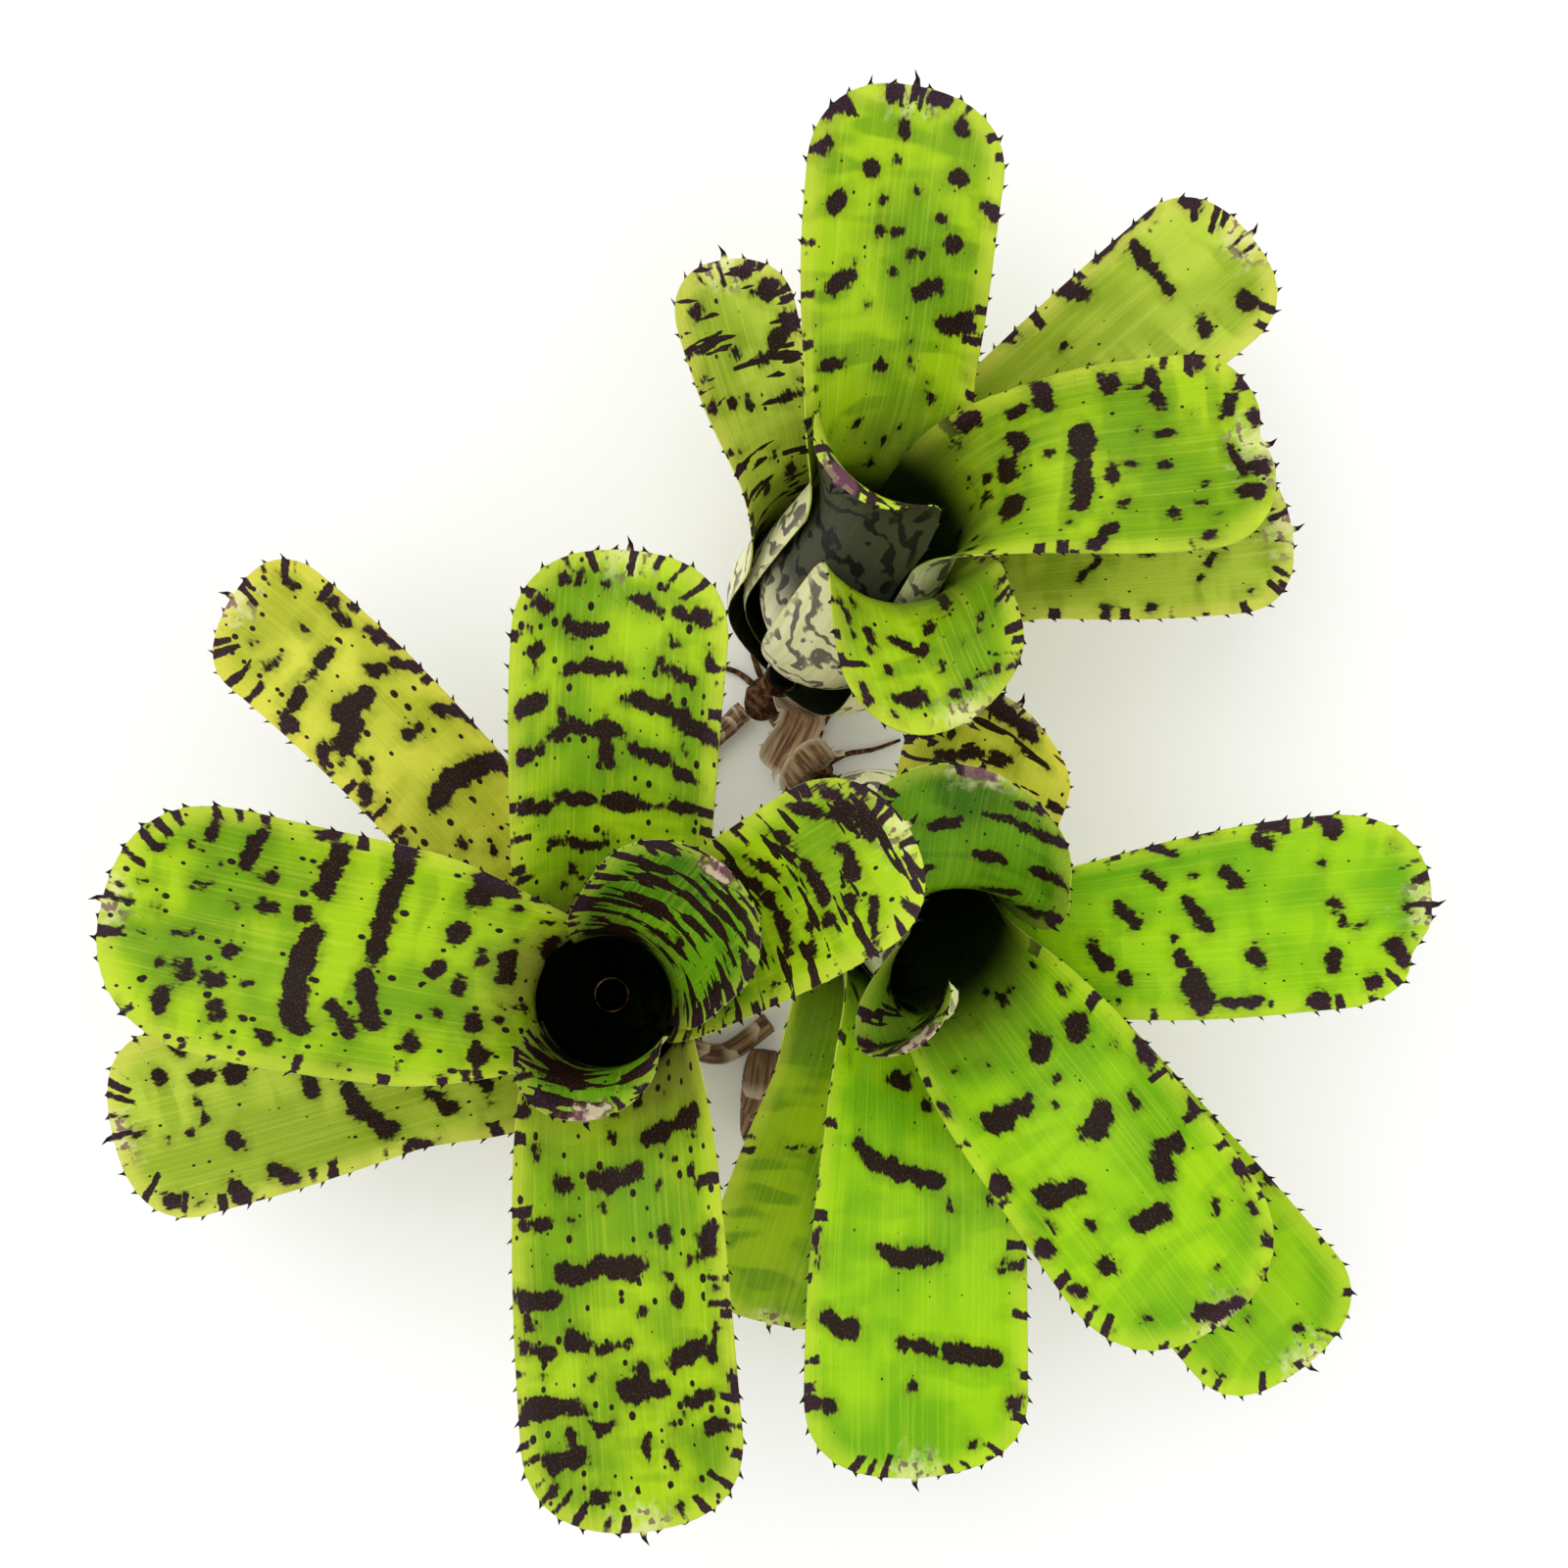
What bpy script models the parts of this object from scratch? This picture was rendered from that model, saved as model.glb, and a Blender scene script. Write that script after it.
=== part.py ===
"""Neoregelia clump: three tank rosettes of strap leaves, joined by short stolons and lying as lifted.

Sizes in the tables below are millimetres and degrees; the scene is built in metres with +Z up.
"""

import math
import random
from dataclasses import dataclass

import bmesh
import bpy
from mathutils import Matrix, Vector

MM = 0.001

# The blades: how thick they are and how finely they are divided.
BLADE_THICKNESS = 0.7
SEAT_GAP = 0.3
LEAF_COLUMNS = 7
SHEATH_LEVELS = (17.0, 26.0, 37.0, 54.0)
LEVEL_MARGIN = 4.0
BEND_LENGTH = 22.0
BEND_SHARE = 0.3
TIP_ROWS = 3
BEND_ROWS = 3
MID_ROWS = 3

# The shape of a blade, as shares of its length from the rim of the cup to its tip.
CHANNEL_SETTLES = 0.45
CHANNEL_OPENS_FROM = 0.6
CHANNEL_OPENING = 0.25
WIDTH_SETTLES = 0.35
WIDTH_AT_START = 0.97
WIDTH_SWELL = 0.04
TIP_ROUNDNESS = 2.3
TWIST_SETTLES = 0.7
RIM_EASING = 6.0
RIPPLE = 0.5
RIPPLE_FROM = 40.0
RIPPLE_PITCH = 7.0
RIPPLE_OFFSET = 1.5

# The cups: sheaths nest in layers round each axis, the innermost first.
LAYER_PITCH = 1.15
NECK_RADIUS = 13.0
BELLY_HEIGHT = 32.0
BOWL_HEIGHT = 26.0
BOWL_BOTTOM = 6.0
BOWL_STEP = 2.3
SHEATH_WRAP = 80.0

STEM_RADIUS = 3.6
STEM_FOOT_RADIUS = 5.2
STEM_FOOT_HEIGHT = 5.0
STEM_SHOULDER = 2.0
STEM_SIDES = 20
STEM_BELOW_CUT = 6.0
STEM_INTO_CUP = 3.0
FIRST_SHEATH_RADIUS = STEM_RADIUS + SEAT_GAP + 0.4

# Teeth on the margins, and the one that ends each blade.
SPINE_LENGTH = 1.5
SPINE_BASE = 1.5
SPINE_SPACING = 9.6
SPINE_JITTER = 0.15
SPINE_LEAN = 0.5
SPINES_FROM = 0.22
END_SPINE_LENGTH = 3.6
END_SPINE_BASE = 1.6
END_SPINE_LEAN = 0.8

STOLON_SIDES = 8
STOLON_RADIUS = 2.6
STOLON_HEIGHT = 3.2
SCALE_LENGTH = 6.5
SCALE_STEP = 0.45
BUD_RADIUS = 4.0
BUD_TIP_RADIUS = 0.9
BUD_HEIGHT = BUD_RADIUS + 1.0

ROOT_SIDES = 6
ROOT_RADIUS = 0.9
ROOT_TIP_RADIUS = 0.55
ROOT_STEPS = 3
ROOT_WANDER = 2.2
ROOT_START = 2.0
ROOT_CLEARANCE = 0.02

SEED = 7


@dataclass(frozen=True)
class Finish:
    """Colour and roughness of a surface."""

    colour: tuple
    roughness: float


FRESH = Finish((0.30, 0.50, 0.03), 0.35)
YELLOWED = Finish((0.55, 0.55, 0.06), 0.4)
SHADED = Finish((0.22, 0.42, 0.05), 0.4)
PAPERY = Finish((0.30, 0.20, 0.13), 0.85)
WOODY = Finish((0.16, 0.10, 0.06), 0.8)


@dataclass(frozen=True)
class Tank:
    """One rosette's cup: where its axis leaves the ground and where it reaches the rim."""

    name: str
    foot: tuple
    rim: tuple
    layers: int
    swell: float = 2.6

    def base(self):
        return Vector((self.foot[0], self.foot[1], 0.0))

    def axis(self):
        return (Vector(self.rim) - self.base()).normalized()

    def depth(self):
        return (Vector(self.rim) - self.base()).length

    def frame(self):
        """Two directions across the axis: the first is the side that +X leans to."""
        axis = self.axis()
        first = Vector((1.0, 0.0, 0.0)) - axis * axis.x
        first.normalize()
        return first, axis.cross(first)

    def bottom(self, layer):
        return BOWL_BOTTOM + BOWL_STEP * (self.layers - 1 - layer)

    def radius(self, layer, height):
        """Radius of a layer's middle surface at a height along the axis."""
        sink = clamp((height - BELLY_HEIGHT) / (self.depth() - BELLY_HEIGHT))
        full = NECK_RADIUS + LAYER_PITCH * layer + self.swell * 0.5 * (1.0 + math.cos(math.pi * sink))
        rise = clamp((height - self.bottom(layer)) / BOWL_HEIGHT)
        return FIRST_SHEATH_RADIUS + (full - FIRST_SHEATH_RADIUS) * math.sin(0.5 * math.pi * rise)


@dataclass(frozen=True)
class Leaf:
    """One leaf: its sheath wraps the tank on one layer, and its blade runs to a tip in the open."""

    name: str
    layer: int
    depart: float
    tip: tuple
    width: float
    pitch: float
    channel: float
    rise: float = 20.0
    run: float = 0.4
    roll: float = 0.0
    hook: float = 0.0
    swing: float = 0.0
    wrap: float = SHEATH_WRAP
    blunt: float = 0.85


TANKS = (
    Tank("left", (-48.0, -53.0), (-42.0, -46.0, 80.0), 6),
    Tank("right", (0.0, 0.0), (34.5, -51.0, 78.0), 8),
    Tank("upper", (-11.0, 18.0), (26.0, 67.0, 78.0), 7, 5.0),
)

LEAVES = {
    "left": (
        Leaf("leaf_left_inner_top", 0, 66.0, (-18.0, -18.0, 104.0), 40.0, 55.0, 22.0, wrap=70.0),
        Leaf("leaf_left_inner_bottom", 0, 66.0, (-44.5, -66.7, 92.0), 34.0, 55.0, 18.0, wrap=64.0),
        Leaf("leaf_left_west", 1, 61.0, (-140.5, -25.5, 80.0), 50.0, -12.0, 40.0, 24.0, wrap=66.0, blunt=1.2),
        Leaf("leaf_left_east", 1, 58.0, (15.5, -10.5, 104.0), 35.0, 5.0, 34.0, 12.0, wrap=66.0),
        Leaf("leaf_left_north", 2, 52.0, (-37.0, 42.5, 82.0), 43.0, -15.0, 36.0, wrap=74.0),
        Leaf("leaf_left_south", 2, 54.0, (-35.0, -152.0, 74.0), 45.0, -10.0, 40.0, wrap=76.0, blunt=1.0),
        Leaf("leaf_left_northwest", 3, 42.0, (-120.5, 35.5, 62.0), 30.0, -10.0, 30.0, hook=14.0, swing=-8.0),
        Leaf("leaf_left_southwest", 4, 34.0, (-148.5, -77.7, 52.0), 41.0, -10.0, 38.0, 16.0),
        Leaf("dry_leaf_left", 5, 20.0, (-22.0, -16.0, 14.0), 14.0, -15.0, 12.0, 8.0, wrap=52.0),
    ),
    "right": (
        Leaf("leaf_right_inner", 0, 76.0, (20.0, -53.0, 85.0), 24.0, 75.0, 16.0, swing=28.0, wrap=72.0),
        Leaf("leaf_right_north", 2, 68.0, (29.5, -0.3, 102.0), 47.0, 60.0, 26.0, wrap=72.0),
        Leaf("leaf_right_southeast", 1, 72.0, (81.0, -111.0, 72.0), 46.0, -8.0, 40.0, blunt=1.1),
        Leaf("leaf_right_east", 3, 66.0, (124.8, -27.5, 66.0), 40.0, -5.0, 40.0, wrap=66.0, blunt=1.1),
        Leaf("leaf_right_south", 4, 62.0, (20.0, -146.5, 60.0), 47.0, -8.0, 40.0),
        Leaf("leaf_right_far_north", 4, 50.0, (40.0, 12.7, 73.0), 37.0, 40.0, 28.0, 22.0, wrap=40.0),
        Leaf("leaf_right_far_southeast", 5, 54.0, (104.0, -126.0, 50.0), 40.0, -8.0, 36.0),
        Leaf("leaf_right_southwest", 6, 46.0, (-10.3, -125.4, 22.0), 38.0, -25.0, 34.0),
        Leaf("dry_leaf_right", 7, 16.0, (-5.3, 3.5, 37.6), 15.0, 75.0, 16.0, 6.0, wrap=38.0),
    ),
    "upper": (
        Leaf("leaf_upper_inner", 0, 67.0, (3.0, 54.8, 88.0), 39.0, 25.0, 19.0, 6.0, 0.35, hook=140.0, wrap=64.0),
        Leaf("leaf_upper_east", 1, 73.0, (90.5, 65.0, 73.0), 40.0, -5.0, 36.0, 26.0),
        Leaf("leaf_upper_north", 2, 66.0, (19.0, 133.8, 80.0), 40.0, 5.0, 34.0),
        Leaf("leaf_upper_south", 2, 60.0, (28.5, 9.2, 87.0), 40.0, 20.0, 24.0, 17.0, wrap=62.0),
        Leaf("leaf_upper_northeast", 3, 56.0, (88.8, 109.9, 62.0), 35.0, -5.0, 32.0, wrap=70.0),
        Leaf("leaf_upper_west", 4, 43.0, (-19.0, 102.6, 70.0), 26.0, 12.0, 16.0, 24.0, wrap=44.0),
        Leaf("leaf_upper_far_east", 5, 50.0, (100.7, 51.0, 50.0), 34.0, -8.0, 30.0),
        Leaf("dry_leaf_upper", 6, 15.0, (-9.0, 0.0, 7.0), 11.0, -35.0, 14.0, 6.0, wrap=22.0),
    ),
}

LEAF_FINISHES = {
    "leaf_left_northwest": YELLOWED,
    "leaf_right_far_north": YELLOWED,
    "leaf_right_southwest": SHADED,
    "dry_leaf_left": PAPERY,
    "dry_leaf_right": PAPERY,
    "dry_leaf_upper": PAPERY,
}

STOLONS = (
    ("stolon_main", ((-44.2, -48.6), (-42.0, -29.0), (-29.0, 1.0), (-19.6, 11.5), (-16.3, 14.6))),
    ("stolon_link", ((-3.3, 5.0), (-6.0, 9.4), (-8.6, 13.4))),
    ("stolon_young", ((-43.7, -55.7), (-34.0, -63.0), (-22.0, -67.0), (-10.5, -59.5))),
)
BUD_PATH = ((-11.7, -66.0), (-12.6, -76.5), (-15.4, -87.5))

ROOTS = {
    "left": ((-150.0, 24.0), (-95.0, 20.0), (150.0, 22.0), (-60.0, 18.0)),
    "right": ((-20.0, 30.0), (-62.0, 34.0), (25.0, 20.0), (-100.0, 24.0), (75.0, 16.0)),
    "upper": ((60.0, 22.0), (105.0, 24.0), (145.0, 20.0), (20.0, 18.0)),
}


def clamp(value):
    return min(1.0, max(0.0, value))


def smooth(value):
    value = clamp(value)
    return value * value * (3.0 - 2.0 * value)


def blend(first, second, share):
    return first + (second - first) * share


class MidLine:
    """The middle line of a leaf, from the foot of its sheath to its tip, with a frame at each point.

    A place is a length in millimetres along the leaf; lengths below zero are in the sheath and
    lengths above zero are in the blade.
    """

    STEPS = 60

    def __init__(self, tank, leaf):
        self.tank = tank
        self.leaf = leaf
        self.axis = tank.axis()
        first, second = tank.frame()
        rim = tank.base() + self.axis * leaf.depart
        outward = Vector(leaf.tip) - rim
        angle = math.atan2(outward.dot(second), outward.dot(first)) + math.radians(leaf.swing)
        self.out = first * math.cos(angle) + second * math.sin(angle)
        self.side = self.axis.cross(self.out)
        self.sheath_length = leaf.depart - tank.bottom(leaf.layer)
        self.start = self.sheath_point(leaf.depart)
        self.make_blade()

    def sheath_point(self, height):
        return self.tank.base() + self.axis * height + self.out * self.tank.radius(self.leaf.layer, height)

    def make_blade(self):
        tip = Vector(self.leaf.tip)
        plan = Vector((tip.x - self.start.x, tip.y - self.start.y, 0.0)).normalized()
        plan = Matrix.Rotation(math.radians(self.leaf.hook), 3, "Z") @ plan
        pitch = math.radians(self.leaf.pitch)
        ending = plan * math.cos(pitch) + Vector((0.0, 0.0, math.sin(pitch)))
        self.ending = ending
        chord = (tip - self.start).length
        handle = self.start + self.axis * self.leaf.rise
        pull = tip - ending * chord * self.leaf.run
        points = []
        for step in range(self.STEPS + 1):
            t = step / self.STEPS
            points.append(
                self.start * (1 - t) ** 3
                + handle * 3 * t * (1 - t) ** 2
                + pull * 3 * t * t * (1 - t)
                + tip * t ** 3
            )
        self.points = points
        self.lengths = [0.0]
        for before, after in zip(points, points[1:]):
            self.lengths.append(self.lengths[-1] + (after - before).length)
        self.blade_length = self.lengths[-1]
        across = Vector((0.0, 0.0, 1.0)).cross(ending).normalized()
        self.tip_side = Matrix.Rotation(math.radians(self.leaf.roll), 3, ending) @ across

    def blade_point(self, place):
        """Point and direction at a length along the blade, carried on straight past the tip."""
        if place >= self.blade_length:
            return self.points[-1] + self.ending * (place - self.blade_length), self.ending
        index = max(i for i, length in enumerate(self.lengths[:-1]) if length <= place)
        span = self.lengths[index + 1] - self.lengths[index]
        share = (place - self.lengths[index]) / span
        step = self.points[index + 1] - self.points[index]
        last = min(index + 2, self.STEPS)
        after = self.points[last] - self.points[last - 1]
        return self.points[index] + step * share, blend(step, after, share).normalized()

    def channel(self, place):
        """Radius of the leaf's cross-section."""
        if place <= 0.0:
            return self.tank.radius(self.leaf.layer, self.leaf.depart + place)
        rim = self.tank.radius(self.leaf.layer, self.leaf.depart)
        share = place / self.blade_length
        opening = smooth((share - CHANNEL_OPENS_FROM) / (1.0 - CHANNEL_OPENS_FROM))
        radius = blend(rim, self.leaf.channel, smooth(share / CHANNEL_SETTLES))
        return radius * (1.0 + CHANNEL_OPENING * opening)

    def half_width(self, place):
        wrap = math.radians(self.leaf.wrap)
        if place <= 0.0:
            return wrap * self.channel(place)
        rim = wrap * self.tank.radius(self.leaf.layer, self.leaf.depart)
        share = place / self.blade_length
        half = self.leaf.width / 2
        width = blend(rim, half * WIDTH_AT_START, smooth(share / WIDTH_SETTLES))
        width *= 1.0 + WIDTH_SWELL * smooth((share - 0.3) / 0.4)
        rounding = self.rounding()
        beyond = clamp((place - rounding) / (self.blade_length - rounding))
        return max(width * (1.0 - beyond ** TIP_ROUNDNESS) ** (1 / TIP_ROUNDNESS), END_SPINE_BASE / 2)

    def rounding(self):
        return self.blade_length - self.leaf.blunt * self.leaf.width / 2

    def surface(self, across, place):
        """Point of the leaf's middle surface, at a distance to the side of the middle line."""
        radius = self.channel(place)
        if place <= 0.0:
            point = self.sheath_point(self.leaf.depart + place)
            normal = -self.out
            side = self.side
        else:
            point, direction = self.blade_point(place)
            share = place / self.blade_length
            side = blend(self.side, self.tip_side, smooth(share / TWIST_SETTLES))
            side = (side - direction * side.dot(direction)).normalized()
            normal = direction.cross(side)
            normal = blend(-self.out, normal, smooth(place / RIM_EASING)).normalized()
            side = (side - normal * side.dot(normal)).normalized()
        angle = across / radius
        return point + normal * radius * (1.0 - math.cos(angle)) + side * radius * math.sin(angle)


def row_places(line):
    """Lengths along a leaf at which it has a row of points."""
    places = [-line.sheath_length]
    places += [
        level - line.leaf.depart
        for level in SHEATH_LEVELS
        if line.leaf.depart - line.sheath_length + LEVEL_MARGIN < level < line.leaf.depart - LEVEL_MARGIN
    ]
    bend = min(BEND_LENGTH, line.blade_length * BEND_SHARE)
    places += [bend * i / BEND_ROWS for i in range(BEND_ROWS)]
    rounding = line.rounding()
    places += [blend(bend, rounding, i / MID_ROWS) for i in range(MID_ROWS)]
    for i in range(TIP_ROWS + 1):
        turn = 0.5 * math.pi * i / TIP_ROWS
        places.append(blend(rounding, line.blade_length, math.sin(turn)))
    places.append(line.blade_length + END_SPINE_LENGTH)
    return places


def flat_pattern(line, chance):
    """The leaf laid out flat: x is the distance across and y the length along, in millimetres."""
    places = row_places(line)
    mesh = bmesh.new()
    bmesh.ops.create_grid(mesh, x_segments=LEAF_COLUMNS, y_segments=len(places) - 1, size=1.0)
    for vert in mesh.verts:
        row = round((vert.co.y + 1.0) * 0.5 * (len(places) - 1))
        place = places[row]
        vert.co = Vector((vert.co.x * line.half_width(place), place, 0.0))
    end = max(places)
    last = [vert for vert in mesh.verts if vert.co.y > end - END_SPINE_LENGTH / 2]
    bmesh.ops.pointmerge(mesh, verts=last, merge_co=(END_SPINE_LEAN, end, 0.0))
    add_spines(mesh, line, chance)
    bmesh.ops.triangulate(mesh, faces=mesh.faces[:])
    return mesh


def add_spines(mesh, line, chance):
    """Small forward-pointing teeth on the blade's margins."""
    margins = [edge for edge in mesh.edges if edge.is_boundary and runs_along(edge)]
    for edge in margins:
        low, high = sorted(edge.verts, key=lambda vert: vert.co.y)
        if high.co.y < line.blade_length * SPINES_FROM or high.co.y > line.blade_length - 1.0:
            continue
        length = (high.co - low.co).length
        count = max(1, round(length / SPINE_SPACING))
        outward = Vector((math.copysign(1.0, low.co.x), 0.0, 0.0))
        rest = edge
        start = low
        for index in range(count):
            place = (index + 0.5 + chance.uniform(-SPINE_JITTER, SPINE_JITTER)) / count * length
            rest, start = grow_spine(mesh, rest, start, high, low.co.copy(), place, length, outward)


def runs_along(edge):
    """Whether an edge of the flat pattern runs along the leaf and not across its end."""
    return abs(edge.verts[0].co.y - edge.verts[1].co.y) > 0.5


def grow_spine(mesh, edge, start, end, origin, place, length, outward):
    """Cuts a short piece out of a margin's edge and draws it out to a point."""
    along = (end.co - origin).normalized()
    first = origin + along * max(0.1, place - SPINE_BASE / 2)
    second = origin + along * min(length - 0.1, place + SPINE_BASE / 2)
    rest, low = bmesh.utils.edge_split(edge, start, (first - start.co).length / edge.calc_length())
    rest = joining(low, end)
    tooth_end_share = (second - low.co).length / rest.calc_length()
    _, high = bmesh.utils.edge_split(rest, low, tooth_end_share)
    tooth = joining(low, high)
    out = outward - along * outward.dot(along)
    point_outward(mesh, tooth, (out.normalized() + along * SPINE_LEAN).normalized() * SPINE_LENGTH)
    return joining(high, end), high


def joining(first, second):
    return next(edge for edge in first.link_edges if edge.other_vert(first) is second)


def point_outward(mesh, edge, reach):
    """Draws an edge out into a triangle whose point is that far from the edge's middle."""
    middle = (edge.verts[0].co + edge.verts[1].co) / 2
    made = bmesh.ops.extrude_edge_only(mesh, edges=[edge])["geom"]
    verts = [item for item in made if isinstance(item, bmesh.types.BMVert)]
    bmesh.ops.pointmerge(mesh, verts=verts, merge_co=middle + reach)


def leaf_mesh(line, chance):
    """The leaf's middle surface in the open, split into triangles."""
    mesh = flat_pattern(line, chance)
    phase = chance.uniform(0.0, 2 * math.pi)
    for vert in mesh.verts:
        across, place = vert.co.x, vert.co.y
        spot = line.surface(across, place)
        edge = (across / max(4.0, line.half_width(place))) ** 2
        turn = place / RIPPLE_PITCH + phase + (RIPPLE_OFFSET if across > 0 else 0.0)
        wave = RIPPLE * clamp(place / RIPPLE_FROM) * edge * math.sin(turn)
        vert.co = (spot + Vector((0.0, 0.0, wave))) * MM
    bmesh.ops.recalc_face_normals(mesh, faces=mesh.faces[:])
    return mesh


def finish_object(mesh, name, finish):
    """Makes a named object of this mesh, with a material of its own."""
    data = bpy.data.meshes.new(name)
    mesh.to_mesh(data)
    mesh.free()
    made = bpy.data.objects.new(name, data)
    data.materials.append(material(f"{name}_surface", finish))
    data.shade_smooth()
    bpy.context.scene.collection.objects.link(made)
    return made


def thicken(made, thickness):
    solid = made.modifiers.new("thickness", "SOLIDIFY")
    solid.thickness = thickness * MM
    solid.offset = 0.0
    solid.use_rim = True


def material(name, finish):
    made = bpy.data.materials.new(name)
    made.use_nodes = True
    shader = next(node for node in made.node_tree.nodes if node.type == "BSDF_PRINCIPLED")
    shader.inputs["Base Color"].default_value = (*finish.colour, 1.0)
    shader.inputs["Roughness"].default_value = finish.roughness
    shader.inputs["Metallic"].default_value = 0.0
    return made


def build_leaves():
    for tank in TANKS:
        for leaf in LEAVES[tank.name]:
            chance = random.Random(f"{SEED} {leaf.name}")
            mesh = leaf_mesh(MidLine(tank, leaf), chance)
            made = finish_object(mesh, leaf.name, LEAF_FINISHES.get(leaf.name, FRESH))
            thicken(made, BLADE_THICKNESS)


def build_stem(tank):
    """The short stem in the middle of a rosette, cut flat where it rests."""
    top = tank.bottom(0) + STEM_INTO_CUP
    profile = (
        (0.0, top),
        (STEM_RADIUS * 0.6, top - STEM_SHOULDER / 5),
        (STEM_RADIUS, top - STEM_SHOULDER),
        (STEM_RADIUS, STEM_FOOT_HEIGHT),
        (STEM_FOOT_RADIUS, 0.0),
        (STEM_FOOT_RADIUS, -STEM_BELOW_CUT),
        (0.0, -STEM_BELOW_CUT),
    )
    mesh = bmesh.new()
    verts = [mesh.verts.new((radius, 0.0, height)) for radius, height in profile]
    edges = [mesh.edges.new(pair) for pair in zip(verts, verts[1:])]
    bmesh.ops.spin(
        mesh, geom=verts + edges, axis=(0, 0, 1), cent=(0, 0, 0),
        angle=2 * math.pi, steps=STEM_SIDES, use_merge=True,
    )
    bmesh.ops.remove_doubles(mesh, verts=mesh.verts[:], dist=1e-4)
    turn = Vector((0, 0, 1)).rotation_difference(tank.axis()).to_matrix().to_4x4()
    bmesh.ops.transform(mesh, matrix=Matrix.Translation(tank.base()) @ turn, verts=mesh.verts[:])
    cut = bmesh.ops.bisect_plane(
        mesh, geom=mesh.verts[:] + mesh.edges[:] + mesh.faces[:], plane_co=(0, 0, 0), plane_no=(0, 0, -1),
        clear_outer=True,
    )
    rim = [item for item in cut["geom_cut"] if isinstance(item, bmesh.types.BMEdge)]
    bmesh.ops.holes_fill(mesh, edges=rim)
    bmesh.ops.recalc_face_normals(mesh, faces=mesh.faces[:])
    bmesh.ops.scale(mesh, vec=(MM, MM, MM), verts=mesh.verts[:])
    return finish_object(mesh, f"stem_{tank.name}", WOODY)


def ring(mesh, centre, direction, radius, sides):
    """One closed loop of points round a path; gives back its edges."""
    made = bmesh.ops.create_circle(mesh, segments=sides, radius=radius)
    turn = Vector((0, 0, 1)).rotation_difference(direction).to_matrix().to_4x4()
    bmesh.ops.transform(mesh, matrix=Matrix.Translation(centre) @ turn, verts=made["verts"])
    return list({edge for vert in made["verts"] for edge in vert.link_edges}), made["verts"]


def tube(centres, radii, sides):
    """A closed round bar through these centres."""
    mesh = bmesh.new()
    loops = []
    ends = []
    for index, (centre, radius) in enumerate(zip(centres, radii)):
        before = centres[max(index - 1, 0)]
        after = centres[min(index + 1, len(centres) - 1)]
        edges, verts = ring(mesh, centre, (after - before).normalized(), radius, sides)
        loops.append(edges)
        ends.append(verts)
    for first, second in zip(loops, loops[1:]):
        bmesh.ops.bridge_loops(mesh, edges=first + second)
    for verts in (ends[0], ends[-1]):
        bmesh.ops.contextual_create(mesh, geom=verts)
    bmesh.ops.recalc_face_normals(mesh, faces=mesh.faces[:])
    bmesh.ops.scale(mesh, vec=(MM, MM, MM), verts=mesh.verts[:])
    return mesh


def along(points, share):
    """A point on the smooth curve through these plan points, at a share of the way."""
    span = share * (len(points) - 1)
    index = min(int(span), len(points) - 2)
    t = span - index
    four = [Vector(points[min(max(index + k, 0), len(points) - 1)]) for k in (-1, 0, 1, 2)]
    a, b, c, d = four
    square = 2 * a - 5 * b + 4 * c - d
    cube = 3 * b - a - 3 * c + d
    return 0.5 * (2 * b + (c - a) * t + square * t * t + cube * t ** 3)


def plan_length(points):
    return sum((Vector(b) - Vector(a)).length for a, b in zip(points, points[1:]))


def scaly_bar(points, radius_at, height_at):
    """Centres and radii of a bar whose papery scales overlap in steps."""
    scales = max(1, round(plan_length(points) / SCALE_LENGTH))
    centres = []
    radii = []
    for scale in range(scales):
        for part, swell in ((0.04, 1.0), (0.9, 0.0)):
            share = (scale + part) / scales
            radius = radius_at(share) - SCALE_STEP * swell
            spot = along(points, share)
            centres.append(Vector((spot.x, spot.y, height_at(share))))
            radii.append(radius)
    return centres, radii


def build_stolons():
    for name, points in STOLONS:
        centres, radii = scaly_bar(points, lambda share: STOLON_RADIUS, lambda share: STOLON_HEIGHT)
        finish_object(tube(centres, radii, STOLON_SIDES), name, PAPERY)
    centres, radii = scaly_bar(BUD_PATH, bud_radius, lambda share: BUD_HEIGHT)
    finish_object(tube(centres, radii, STOLON_SIDES), "stolon_bud", PAPERY)


def bud_radius(share):
    """The young shoot swells and then closes to a point."""
    return BUD_TIP_RADIUS + BUD_RADIUS * math.sin(math.pi * (0.18 + 0.80 * share)) ** 0.8


def root_tube(tank, heading, length, chance):
    """One wiry root that runs out over the ground from inside the stem."""
    angle = math.radians(heading)
    way = Vector((math.cos(angle), math.sin(angle), 0.0))
    centres = []
    radii = []
    for step in range(ROOT_STEPS + 1):
        share = step / ROOT_STEPS
        drift = Vector((-way.y, way.x, 0.0)) * chance.uniform(-ROOT_WANDER, ROOT_WANDER) * share
        radius = blend(ROOT_RADIUS, ROOT_TIP_RADIUS, share)
        spot = tank.base() + way * (ROOT_START + length * share) + drift
        centres.append(Vector((spot.x, spot.y, radius + ROOT_CLEARANCE)))
        radii.append(radius)
    return tube(centres, radii, ROOT_SIDES)


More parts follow.
